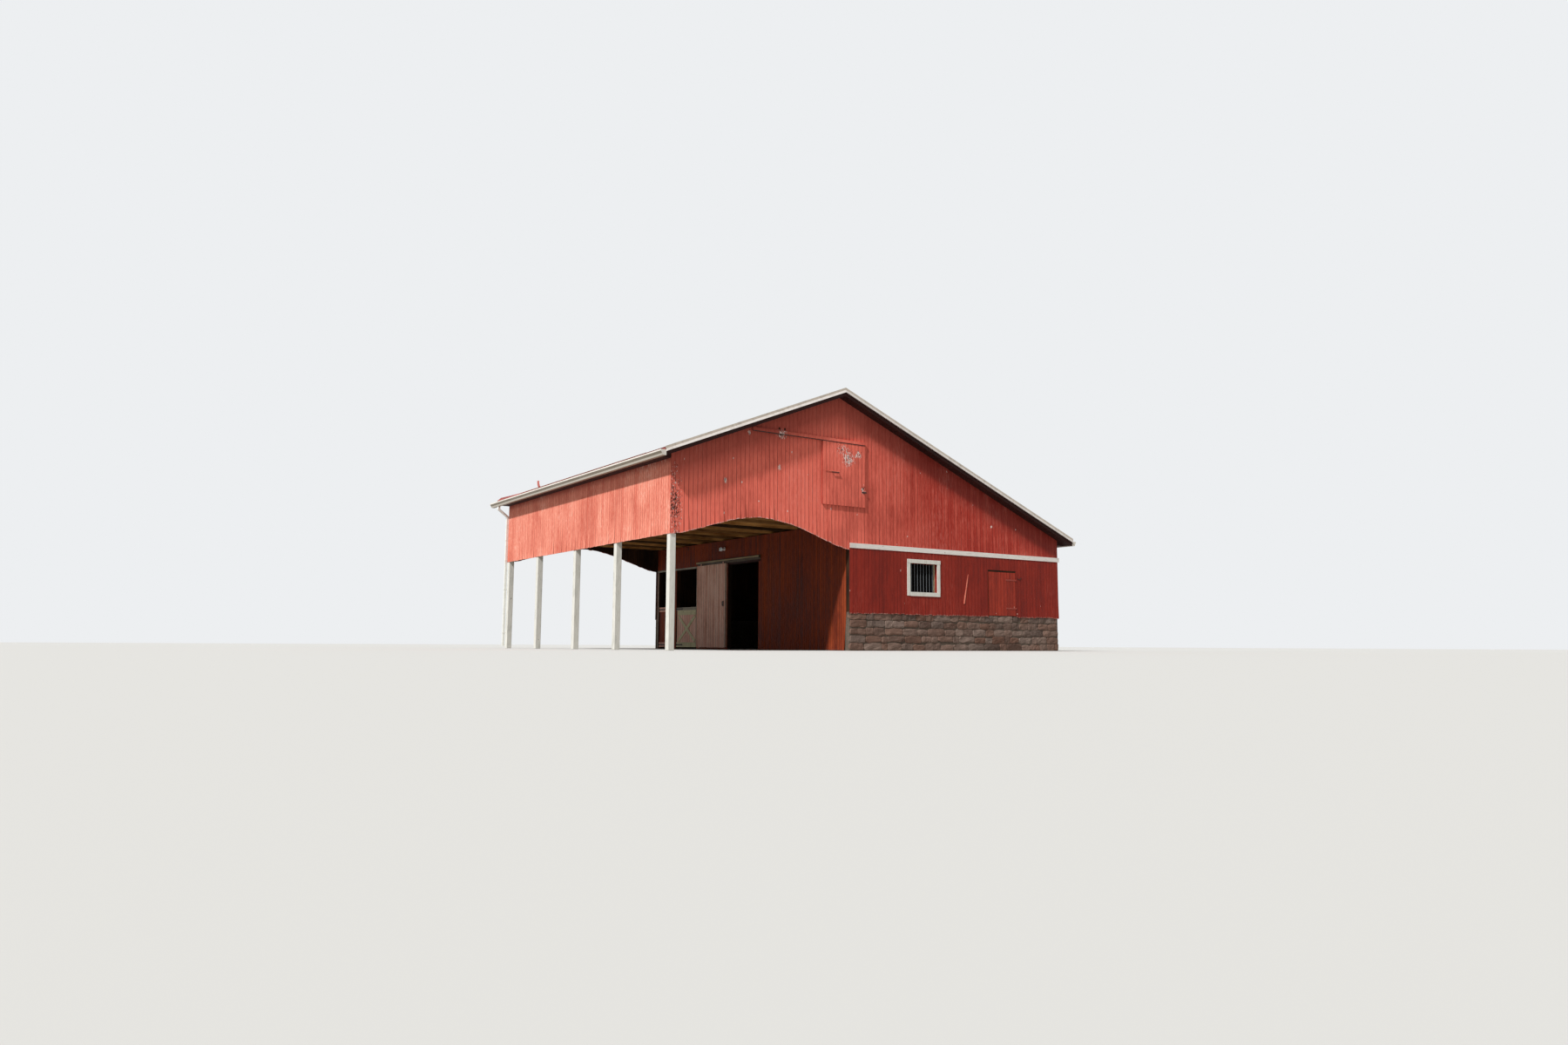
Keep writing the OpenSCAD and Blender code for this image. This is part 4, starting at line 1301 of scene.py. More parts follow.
class BoltPattern(Pattern):
    """Puts a domed bolt head on each point, square to the face it sits on."""

    def __init__(self) -> None:
        """Builds the tree."""
        super().__init__("bolt_heads", {"Diameter": "NodeSocketFloat", "Height": "NodeSocketFloat"})
        add, inputs = self.add, self.inputs
        facing = add(READ, {"Name": "facing"}, data_type="FLOAT_VECTOR")
        turn = add("FunctionNodeAlignRotationToVector", {"Vector": facing}, axis="Z")
        radius = add(MATH, (inputs["Diameter"], 0.5), operation="MULTIPLY")
        top = add(MATH, (inputs["Diameter"], 0.26), operation="MULTIPLY")
        head = add("GeometryNodeMeshCone", {
            "Vertices": 8, "Radius Top": top, "Radius Bottom": radius, "Depth": inputs["Height"]})
        copies = add("GeometryNodeInstanceOnPoints", {
            "Points": inputs["Geometry"], "Instance": head, "Rotation": turn})
        real = add("GeometryNodeRealizeInstances", {"Geometry": copies})
        self.close(add("GeometryNodeRemoveAttribute", {"Geometry": real, "Name": "facing"}))

    def fit(self, name: str, spots: list[tuple[Vector, Vector]], finish: Finish, body: Body,
            diameter: float = 0.022, height: float = 0.008) -> Piece:
        """Fits bolt heads at spots.

        Args:
            name: Name of the piece.
            spots: Middle of each head and the way it faces.
            finish: Finish of the heads.
            body: Body that they ride on.
            diameter: Diameter of a head in metres.
            height: Height of a head in metres.

        Returns:
            The heads as one object.
        """
        points, ways = zip(*spots)
        return self.grow(name, {
            "Diameter": diameter, "Height": height}, finish, body, points, {"facing": ways})


@dataclass
class Patterns:
    """The trees that the barn's parts share."""

    boards: BoardPattern = field(default_factory=BoardPattern)
    ribs: RibPattern = field(default_factory=RibPattern)
    bars: BarPattern = field(default_factory=BarPattern)
    straps: StrapPattern = field(default_factory=StrapPattern)
    stones: StonePattern = field(default_factory=StonePattern)
    bolts: BoltPattern = field(default_factory=BoltPattern)


TOWARDS_REAR = Vector((1, 0, 0))
ALONG_RIDGE = Vector((0, 1, 0))
UP = Vector((0, 0, 1))


class Side(Enum):
    """Sides of the barn: the way a wall runs there and the way it faces."""

    NEAR = (TOWARDS_REAR, -ALONG_RIDGE)
    FAR = (TOWARDS_REAR, ALONG_RIDGE)
    FRONT = (ALONG_RIDGE, -TOWARDS_REAR)
    REAR = (ALONG_RIDGE, TOWARDS_REAR)


def in_metres(edge: float | Edge) -> Edge:
    """Turns a height in millimetres, or a function that gives it, into a function in metres."""
    return lambda d: (edge(d * 1000) if callable(edge) else edge) / 1000


def wall(side: Side, stand: float, ends: Span, foot: float | Edge, head: float | Edge,
         openings: Iterable[tuple] = (), pitch: float = SHAPE.board, drop: float | Edge = 0.0,
         loose: bool = True) -> BoardFace:
    """A board face from sizes in millimetres, heights fixed or by distance along the wall.

    Args:
        side: The side that it faces.
        stand: How far behind the front or the near gable it stands.
        ends: Its start and end.
        foot: Height of its lower edge.
        head: Height of its upper edge.
        openings: Start, end, sill and head of each opening.
        pitch: Width of a board.
        drop: How much lower a board hangs.
        loose: Whether the feet hang free.

    Returns:
        The face in metres.
    """
    run, outward = side.value
    return BoardFace(
        at(*(abs(c) * stand for c in outward)), run, outward, UP, ends[0] / 1000, ends[1] / 1000,
        pitch / 1000, in_metres(foot), in_metres(head), [tuple(v / 1000 for v in o) for o in openings],
        in_metres(drop), loose)


def spans(node: str) -> list[Span]:
    """Starts and ends of a node along x, y and z, in millimetres of the barn.

    Args:
        node: Name of the node.

    Returns:
        The three spans.
    """
    low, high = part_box(node)
    corner = (SHAPE.centre_x, SHAPE.centre_y, 0)
    return [(a * 1000 + c, b * 1000 + c) for a, b, c in zip(low, high, corner)]


@dataclass
class Siding:
    """The red boards on all outer walls."""

    patterns: Patterns
    window: tuple[float, float, float, float] = (6590, 7510, 1405, 2145)
    hatch: tuple[float, float, float, float] = (9246, 10276, 0, 2082)
    holes: tuple[tuple[float, float, float, float], ...] = (
        (2715, 2765, 4976, 5028), (2866, 2914, 4978, 5026))
    sagging: tuple[float, float, float] = (2570, 3120, 22)

    def sag(self, x: float) -> float:
        """A stretch of gable boards that slipped down beside the crack."""
        start, end, amount = self.sagging
        return amount * (1 - (x - start) / (end - start)) if start < x < end else 0.0

    def gable_head(self, x: float) -> float:
        """Top of a gable board, hidden above the soffit of the rake."""
        return SHAPE.under_roof(x, SHAPE.roof) - 55

    def gable(self, name: str, near: bool, finish: Finish, seed: int) -> None:
        """Covers one gable, loose over the arch and behind the belt board over the stable.

        Args:
            name: Name of the piece.
            near: Whether it is the near gable.
            finish: Its paint.
            seed: Seed of its boards.
        """
        y = 0 if near else SHAPE.length
        corner = SHAPE.board_thick - 1
        side = Side.NEAR if near else Side.FAR
        arch = wall(side, y, (-corner, SHAPE.forebay), SHAPE.arch_foot, self.gable_head,
                    self.holes if near else (), drop=self.sag if near else 0.0)
        stable = wall(side, y, (SHAPE.forebay, SHAPE.width + corner), SHAPE.arch_foot, self.gable_head,
                      pitch=SHAPE.stable_board, loose=False)
        self.patterns.boards.cover(name, [arch, stable], finish, ragged=0.014, curl=0.03, seed=seed)

    def build(self) -> None:
        """Covers gables, lower walls, front and rear, and dresses the walls behind the boards."""
        thick = SHAPE.board_thick
        low = (SHAPE.forebay - thick, SHAPE.width + thick - 1)
        sides = (-thick, SHAPE.length + thick)
        hang, belt = SHAPE.foundation - 18, SHAPE.belt_foot + 4
        cover = self.patterns.boards.cover
        cover_low = partial(cover, finish=LOWER_PAINT, ragged=0.022, curl=0.015)
        self.gable("near_gable_boards", True, GABLE_PAINT, seed=11)
        self.gable("far_gable_boards", False, FAR_GABLE_PAINT, seed=12)
        near = wall(Side.NEAR, 0, low, hang, belt, [self.window, self.hatch], SHAPE.stable_board)
        far = wall(Side.FAR, SHAPE.length, low, hang, belt, pitch=SHAPE.stable_board)
        front = wall(Side.FRONT, 0, sides, SHAPE.front_foot, SHAPE.soffit(rear=False) + 10)
        rear = wall(Side.REAR, SHAPE.width, sides, hang, SHAPE.soffit(rear=True) + 10)
        cover_low("near_lower_boards", [near], seed=13)
        cover_low("far_lower_boards", [far], seed=14)
        cover("front_boards", [front], FRONT_PAINT, ragged=0.010, curl=0.012, seed=15)
        cover_low("rear_boards", [rear], seed=16)
        dress_nodes(
            BOARD_BACKS_AND_GAP_SHADE, "near_gable", "far_gable", "near_lower_wall", "near_corner_wall",
            "hatch_lintel_wall", "far_lower_wall")
        dress_nodes(WALL_BACKS_AND_GAP_SHADE, "front_wall", "rear_wall")


@dataclass
class StableFront:
    """The boarded wall between forebay and stable, with its sliding door track."""

    patterns: Patterns
    near_edge: float = 122
    far_edge: float = 9628
    doorway: Span = (3900, 5460)
    stall: Span = (7170, 8412)
    far_stall: Span = (8620, 9532)
    foundation_edge: float = 172
    track_foot: float = 2382
    flashing_front: float = 4672
    flashing_foot: float = 2472
    sheet: float = 4
    trim: float = 12
    hook_y: float = 7695
    hook: tuple[Span, ...] = ((0, 2975), (80, 2960), (95, 2925), (70, 2895), (45, 2905))
    board: float = 88

    def foot(self, y: float) -> float:
        """Boards start on the foundation at the ends and at the floor between."""
        inside = self.foundation_edge < y < SHAPE.length - self.foundation_edge
        return 15 if inside else SHAPE.foundation + 5

    def build(self) -> None:
        """Covers the wall with boards and trims the doorways."""
        head = SHAPE.door_head
        openings = [(*self.doorway, 0, self.track_foot), (*self.stall, 0, head), (*self.far_stall, 0, head)]
        self.patterns.boards.cover("stable_front_boards", [wall(
            Side.FRONT, SHAPE.forebay, (self.near_edge, self.far_edge), self.foot, SHAPE.ceiling - 3,
            openings, self.board)], STABLE_SHADE_PAINT, ragged=0.006, seed=21)
        dress_nodes(
            WALL_BACKS_AND_GAP_SHADE, "stable_header", "stable_near_wall", "stable_middle_wall", "stable_far_pier",
            "stable_far_jamb")
        front = SHAPE.forebay - SHAPE.board_thick
        deep = (front - self.trim, front)
        Joinery("stall_head_trim", (deep, (self.stall[0] - 40, self.far_edge), (head - 4, head + 46)),
                (deep, (self.far_stall[1], self.far_stall[1] + 45), (40, head - 5))
                ).done(SILVER_WOOD, chamfer=0.002)
        # The dark track stands for the shade under its flashing: painted shade
        dress_nodes(TRACK_SHADE_STEEL, "door_track")
        ends = spans("door_track")[1]
        edge, foot = self.flashing_front, self.flashing_foot
        Joinery("door_track_flashing", ((edge, front), ends, (foot, foot + self.sheet)),
                ((edge - self.sheet, edge), ends, (foot - 26, foot + self.sheet)),
                ((front - 6, front), ends, (foot, foot + 30))).done(FLASHING_STEEL, chamfer=0.001)
        # A near-black strip fills the door head below the track: painted shade
        Joinery("door_head_shade_strip", ((front, front + 8), ends, (head, self.track_foot))).done(SOFFIT_SHADE_PAINT)
        hook = Joinery(
            "harness_hook", ((front - 5, front), (self.hook_y - 15, self.hook_y + 15), (2880, 2990)))
        hook.bent([at(front - out, self.hook_y, z) for out, z in self.hook], 0.014)
        hook.done(HINGE_IRON)


@dataclass
class Forebay:
    """Posts, beam, joists and loft floor."""

    post: float = 140
    post_starts: tuple[float, ...] = (0, 2585, 4915, 7415, 9610)
    beam_foot: float = 2766
    notch: float = 25

    def build(self) -> None:
        """Replaces the plain posts with worn ones and dresses the timbers."""
        posts, foot = Joinery("worn_posts"), SHAPE.front_foot
        for start in self.post_starts:
            end = start + self.post
            posts.board((0, self.post), (start, end), (0, foot))
            inner = (max(start, self.notch), min(end, SHAPE.length - self.notch))
            posts.board((self.notch, self.post), inner, (foot - 1, self.beam_foot))
        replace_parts(posts.done(TRIM_PAINT, chamfer=0.007), "posts")
        dress_nodes(BEAM_WOOD, "forebay_beam")
        dress_nodes(JOIST_WOOD, "joists")
        dress_nodes(FLOOR_WOOD, "loft_floor")
        dress_nodes(RAFTER_WOOD, "front_rafters", "rear_rafters")


@dataclass
class Roof:
    """Ribbed sheets, ridge cap, rake trim and soffits."""

    patterns: Patterns
    rib_step: float = 228
    rib_width: float = 46
    rib_height: float = 19
    lip: float = 15
    drip: Span = (-30, 26)
    strip: Span = (22, 76)
    strip_thick: Span = (4, 26)
    lifted: float = 75
    lifted_wide: float = 1650
    lifted_long: float = 1100
    flap: Span = (6640, 6820)

    def ribs(self, name: str, start_x: float, end_x: float) -> None:
        """Lays ribs on one slope from its eave to the ridge cap.

        Args:
            name: Name of the piece.
            start_x: Eave end, behind the front face.
            end_x: Ridge end, behind the front face.
        """
        low = -SHAPE.rake_over - self.lip + 30
        high = SHAPE.length - low
        count = int((high - low) / self.rib_step) + 1
        first = low + ((high - low) - (count - 1) * self.rib_step) / 2
        start = at(start_x, first, SHAPE.under_roof(start_x) + self.rib_height / 2)
        end = at(end_x, first, SHAPE.under_roof(end_x) + self.rib_height / 2)
        self.patterns.ribs.grow(name, {
            "Count": count, "First": start, "Step": ALONG_RIDGE * self.rib_step / 1000, "Slope": end - start,
            "Width": self.rib_width / 1000, "Height": self.rib_height / 1000}, ROOF_PAINT)

    def along_rakes(self, name: str, stand_off: float, thick: Span,
                    depths: Span, ends: Span) -> Joinery:
        """Gathers a band that follows both slopes on both gables.

        Args:
            name: Name of the piece.
            stand_off: How far its inner face stands outside the rake boards.
            thick: Its thickness at the top and at the bottom.
            depths: Where it starts and ends below the roof's top.
            ends: Its front and rear end.

        Returns:
            The bands, ready to be finished.
        """
        band = Joinery(name)
        for y, way in ((-SHAPE.rake_over - stand_off, -1), (SHAPE.length + SHAPE.rake_over + stand_off, 1)):
            outline = [at(x, y, SHAPE.under_roof(x, depths[0])) for x in (ends[0], SHAPE.ridge_x, ends[1])]
            outline += [at(x, y, SHAPE.under_roof(x, depths[1])) for x in (ends[1], SHAPE.ridge_x, ends[0])]
            band.between(
                outline, [p + ALONG_RIDGE * way * thick[i // 3] / 1000 for i, p in enumerate(outline)])
        return band

    def rake_trim(self) -> None:
        """Folds a steel edge over the roof along both rakes, over a white strip that kicks out."""
        eaves = (-SHAPE.front_over, SHAPE.width + SHAPE.rear_over)
        self.along_rakes("rake_drip_edges", self.lip, (4, 4), self.drip, eaves).done(DRIP_STEEL)
        strip = self.along_rakes("rake_strips", self.lip, self.strip_thick, self.strip,
                                 (20 - SHAPE.front_over, SHAPE.width + SHAPE.rear_over - 20))
        strip.done(STRIP_STEEL, chamfer=0.0015)

    def lift(self, across: float, down: float) -> float:
        """How far the wind has lifted the last sheets of the front slope at the far rake.

        Args:
            across: Share of the lifted width, from none to the rake.
            down: Share of the lifted length, from none to the eave.

        Returns:
            The lift in millimetres.
        """
        return 5 + self.lifted * across ** 1.3 * min(1.0, (1 - across) / 0.14) * down ** 2

    def lifted_sheet(self) -> None:
        """Lays the loose sheets at the far end of the front eave, raised at their corner.

        Their front edge is bent down to the eave, so that the gap under them is closed.
        """
        sheet = Joinery("lifted_roof_sheet")
        columns, rows = 24, 10
        start, end = SHAPE.length - self.lifted_wide, SHAPE.length + SHAPE.rake_over + self.lip - 2
        grid = []
        for i in range(columns + 1):
            y = start + (end - start) * i / columns
            line = []
            for j in range(rows + 1):
                x = self.lifted_long - (self.lifted_long + SHAPE.front_over) * j / rows
                # Ribs of the sheet itself, one rib step apart
                rib = 9 * (0.5 + 0.5 * math.cos(2 * math.pi * (y - start) / self.rib_step))
                rise = self.lift((y - start) / (end - start), j / rows) + rib * j / rows
                line.append((x, y, SHAPE.under_roof(x) + rise))
            grid.append([*line, (-SHAPE.front_over - 4, y, SHAPE.under_roof(-SHAPE.front_over) + 1)])
        rows += 1
        top = [[sheet.mesh.verts.new(at(*p)) for p in line] for line in grid]
        low = [[sheet.mesh.verts.new(at(x + 2, y, z - 2)) for x, y, z in line] for line in grid]
        for i in range(columns):
            for j in range(rows):
                sheet.mesh.faces.new((top[i][j], top[i][j + 1], top[i + 1][j + 1], top[i + 1][j]))
                sheet.mesh.faces.new((low[i][j], low[i + 1][j], low[i + 1][j + 1], low[i][j + 1]))
            for j in (0, rows):
                sheet.mesh.faces.new((top[i][j], top[i + 1][j], low[i + 1][j], low[i][j]))
        for j in range(rows):
            for i in (0, columns):
                sheet.mesh.faces.new((top[i][j], top[i][j + 1], low[i][j + 1], low[i][j]))
        bmesh.ops.recalc_face_normals(sheet.mesh, faces=sheet.mesh.faces[:])
        sheet.done(ROOF_PAINT)

    def bent_flap(self) -> None:
        """Bends one torn strip of sheet up from the front eave."""
        flap = Joinery("bent_roof_flap")
        y0, y1 = self.flap
        path = [(-100, 6, 0), (-SHAPE.front_over + 5, 6, 0), (-SHAPE.front_over - 5, 60, 60),
                (-SHAPE.front_over + 10, 130, 130), (-SHAPE.front_over + 45, 200, 220)]
        edges = []
        for k, (x, rise, lean) in enumerate(path):
            z = SHAPE.under_roof(min(x, 0)) + rise
            edges.append((at(x, y0 + lean + 12 * k, z),
                          at(x, y1 + lean - 18 * math.sin(k), z + 14 * math.sin(2 * k))))
        thick = Vector((-0.0008, 0, -0.0015))
        for (a, b), (c, d) in zip(edges, edges[1:]):
            flap.prism([a, b, d, c], thick)
        flap.done(ROOF_PAINT)

    def build(self) -> None:
        """Lays the ribs, trims the rakes and dresses trim and soffits."""
        self.ribs("front_roof_ribs", -SHAPE.front_over + 4, SHAPE.ridge_x - 60)
        self.ribs("rear_roof_ribs", SHAPE.width + SHAPE.rear_over - 4, SHAPE.ridge_x + 60)
        self.rake_trim()
        self.lifted_sheet()
        self.bent_flap()
        dress_nodes(ROOF_PAINT, "front_roof", "rear_roof", "ridge_cap")
        dress_nodes(LEVEL_TRIM_PAINT, "fascias", "belt_boards")
        # Near-black rake boards and soffits: painted shade under the eaves
        dress_nodes(SOFFIT_SHADE_PAINT, "rake_boards", "rake_soffits", "eave_soffits")


@dataclass
class RainGoods:
    """Gutters with their hangers, and the downspout with its straps."""

    patterns: Patterns
    gutter: float = 130
    hanger_step: float = 700
    inset: float = 0.15
    strap: float = 32
    strap_feet: tuple[float, ...] = (420, 1650, 3050)
    strap_front: float = -78

    def hangers(self, name: str, node: str) -> None:
        """Lays flat hangers across the top of one gutter.

        Args:
            name: Name of the piece.
            node: The gutter.
        """
        low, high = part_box(node)
        run = high.y - low.y - 2 * self.inset
        count = int(run / (self.hanger_step / 1000)) + 1
        step = run / (count - 1)
        self.patterns.straps.grow(name, {
            "Count": count, "First": Vector(((low.x + high.x) / 2, low.y + self.inset, high.z - 0.004)),
            "Step": ALONG_RIDGE * step, "Size": Vector((self.gutter / 1000 - 0.002, 0.025, 0.003))},
            GUTTER_STEEL)

    def build(self) -> None:
        """Dresses the gutters and straps the downspout to the corner."""
        for name in ("front_gutter", "rear_gutter"):
            dress_nodes(GUTTER_STEEL, name)
            self.hangers(name + "_hangers", name)
        dress_nodes(SPOUT_STEEL, "downspout")
        straps = Joinery("downspout_straps")
        far_side = spans("downspout")[1][1]
        for z in self.strap_feet:
            straps.board((self.strap_front, 4), (SHAPE.length + 6, far_side + 4), (z, z + self.strap))
        straps.done(SPOUT_STEEL, chamfer=0.0015)


@dataclass
class BarredWindow:
    """Casing boards, liner and round bars of the stable window."""

    patterns: Patterns
    x: Span = (6610, 7490)
    z: Span = (1425, 2125)
    casing: float = 100
    thick: float = 24
    liner: float = 20
    stop: Span = (76, 106)
    bars: int = 8
    bar: float = 24

    def build(self) -> None:
        """Replaces the plain frame with four casing boards, a liner and bars."""
        (x0, x1), (z0, z1) = self.x, self.z
        reach, t, back, depth = self.casing, self.liner, -0.5, (-2, SHAPE.wall)
        case = Joinery(
            "window_casing", ((x0 - reach, x0), (-self.thick, back), (z0 - reach + 6, z1 + 3)),
            ((x1, x1 + reach - 4), (-self.thick, back), (z0 - 12, z1 + 6)),
            ((x0 - reach + 5, x1 + reach + 9), (-self.thick - 3, back), (z1 + 4, z1 + reach)),
            ((x0 + 2, x1 + reach - 10), (-self.thick - 2, back), (z0 - reach, z0 - 1)))
        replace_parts(case.done(TRIM_PAINT, chamfer=0.003), "window_frame")
        Joinery("window_liner", ((x0 - t, x0), depth, (z0 - t, z1 + t)),
                ((x1, x1 + t), depth, (z0 - t, z1 + t)), ((x0, x1), depth, (z0 - t, z0)),
                ((x0, x1), depth, (z1, z1 + t))).done(LOWER_PAINT)
        Joinery("window_stop", ((x1 - 34, x1), self.stop, self.z),
                ((x0, x0 + 20), self.stop, self.z)).done(CREAM_PAINT, chamfer=0.002)
        step = (x1 - x0) / (self.bars + 1)
        self.patterns.bars.grow("window_bars", {
            "Count": self.bars, "First": at(x0 + step, 60, (z0 + z1) / 2),
            "Step": TOWARDS_REAR * step / 1000, "Length": (z1 - z0 + 20) / 1000,
            "Diameter": self.bar / 1000}, BAR_IRON)


@dataclass
class LoftDoor:
    """The closed loft door with its rail cover and hardware."""

    patterns: Patterns
    x: Span = (3930, 5190)
    face: float = -40
    handle: Span = (4190, 4390)
    handle_z: float = 4135
    latch_x: float = 5150

    def build(self) -> None:
        """Boards the leaf and fits its handle and latch."""
        z0, z1 = spans("loft_door")[2]
        self.patterns.boards.cover("loft_door_boards", [wall(
            Side.NEAR, self.face, self.x, z0 - 4, z1, loose=False)],
            GABLE_PAINT, thickness=0.008, seed=31)
        # The leaf's own faces, which show at its edges, take the darker low-wall paint: painted shade on the
        # edges
        dress_nodes(LOWER_PAINT, "loft_door")
        dress_nodes(GABLE_PAINT, "loft_door_rail")
        iron = Joinery("loft_door_hardware")
        front = self.face - 8
        start, end = self.handle
        iron.bar(at(start, front - 34, self.handle_z), at(end, front - 34, self.handle_z), 0.020)
        for x in (start + 10, end - 10):
            iron.bar(at(x, front, self.handle_z), at(x, front - 40, self.handle_z), 0.016)
        iron.board((self.latch_x - 60, self.latch_x + 80), (front - 6, front), (3715, 3745))
        iron.bar(at(self.latch_x, front - 4, 3755), at(self.latch_x, front - 4, 3690), 0.02)
        iron.done(HINGE_IRON, chamfer=0.001)
        Joinery("loft_door_cleat", ((4010, 4390), (front - 12, front), (4150, 4166))
                ).done(FRONT_PAINT, chamfer=0.002)
        # The runner's dark iron is drawn tall so that it also stands for the shade line under the rail:
        # partly painted shade
        ends, _, (foot, _) = spans("loft_door_rail")
        Joinery("loft_door_runner_and_shade_line", (ends, (self.face - 15, self.face - 2), (foot - 18, foot + 4))
                ).done(HINGE_IRON)


@dataclass
class LedgedBack:
    """The back of a door: bare boards under two ledges and a slanting brace."""

    patterns: Patterns
    name: str
    face: BoardFace
    ends: Span
    heights: Span
    body: Body
    ledge: float = 110
    brace: Span = (40, 170)
    thick: float = 22
    skin: float = 3
    gap: float = 1

    def build(self) -> None:
        """Boards the back and nails ledges and brace over it."""
        face = replace(self.face, gap=self.gap / 1000)
        self.patterns.boards.cover(
            self.name + "_back_boards", [face], BACK_WOOD, self.body, thickness=self.skin / 1000, seed=51)
        start, end = self.ends
        half = self.ledge / 2
        low, high = self.heights
        outlines = [
            [(start, z - half), (end, z - half), (end, z + half), (start, z + half)] for z in (low, high)]
        near, far = self.brace
        outlines.append([(start + near, low + half), (start + far, low + half), (end - near, high - half),
                         (end - far, high - half)])
        wood = Joinery(self.name + "_ledges")
        for outline in outlines:
            wood.prism([face.origin + (face.run * d + face.along * z + face.outward * self.skin) / 1000
                        for d, z in outline], face.outward * self.thick / 1000)
        wood.done(BACK_WOOD, self.body, chamfer=0.002)


@dataclass
class HatchDoor:
    """The low door beside the window, with strap hinges and a hook."""

    patterns: Patterns
    x: Span = (9276, 10264)
    z: Span = (906, 2034)
    straps: Span = (1100, 1840)
    pin_x: float = 10267
    pin: float = 0.0248
    bolts: tuple[float, ...] = (60, 200, 340)
    hook: tuple[Span, ...] = (
        (10330, 1905), (10345, 1880), (10385, 1868), (10425, 1880), (10455, 1905), (10490, 1912))
    back: float = 40

    def build(self) -> None:
        """Boards the leaf, straps its hinges and hangs its hook."""
        self.patterns.boards.cover("hatch_boards", [wall(
            Side.NEAR, 0, self.x, *self.z, pitch=SHAPE.stable_board)],
            HATCH_PAINT, Body.HATCH, thickness=0.008, seed=32)
        dress_nodes(HATCH_PAINT, "hatch_door")
        LedgedBack(self.patterns, "hatch", wall(
            Side.FAR, self.back, self.x, *self.z),
            (self.x[0] + 30, self.x[1] - 30), self.straps, Body.HATCH).build()
        iron = Joinery("hatch_straps")
        bolts = []
        for z in self.straps:
            iron.board((self.pin_x - 380, self.pin_x - 4), (-13, -8), (z - 19, z + 19))
            iron.bar(at(self.pin_x, -12, z - 20), at(self.pin_x, -12, z + 20), self.pin, sides=20)
            bolts += [(at(self.pin_x - d, -13, z), -ALONG_RIDGE) for d in self.bolts]
        iron.done(PAINTED_IRON, Body.HATCH)
        self.patterns.bolts.fit("hatch_strap_bolts", bolts, PAINTED_IRON, Body.HATCH)
        dress_nodes(HINGE_IRON, "door_pintles")
        hook = Joinery("hatch_hook")
        hook.bent([at(x, -18, z) for x, z in self.hook], 0.013)
        x, z = self.hook[0]
        hook.bar(at(x, -8, z), at(x, -20, z), 0.016, sides=8)
        hook.done(HINGE_IRON)


@dataclass
class SlidingDoor:
    """The sliding stable door: boards, pale edge battens and a latch."""

    patterns: Patterns
    y: Span = (5460, 7080)
    z: Span = (50, 2370)
    face: float = 4680
    board: float = 103
    latch: Span = (5560, 5610)
    grip: Span = (1200, 1310)

    def build(self) -> None:
        """Boards the leaf and fits its battens and latch."""
        self.patterns.boards.cover("sliding_door_boards", [wall(
            Side.FRONT, self.face, self.y, *self.z, pitch=self.board)],
            DOOR_STAIN, Body.SLIDING_DOOR, thickness=0.008, ragged=0.006, seed=41)
        dress_nodes(DOOR_STAIN, "sliding_door")
        out = self.face - 8
        deep, high = (out - 7, out), (self.z[0] + 5, self.z[1] - 5)
        Joinery("sliding_door_battens", (deep, (self.y[0] + 2, self.y[0] + 32), high),
                (deep, (self.y[1] - 22, self.y[1] - 2), high)
                ).done(SILVER_WOOD, Body.SLIDING_DOOR, chamfer=0.0015)
        latch = Joinery("sliding_door_latch")
        low, high = self.grip
        latch.board((out - 6, out), self.latch, (low - 20, high + 20))
        y = sum(self.latch) / 2
        latch.bar(at(out - 34, y, low), at(out - 34, y, high), 0.014)
        for z in (low + 4, high - 4):
            latch.bar(at(out, y, z), at(out - 38, y, z), 0.012)
        latch.done(HINGE_IRON, Body.SLIDING_DOOR)


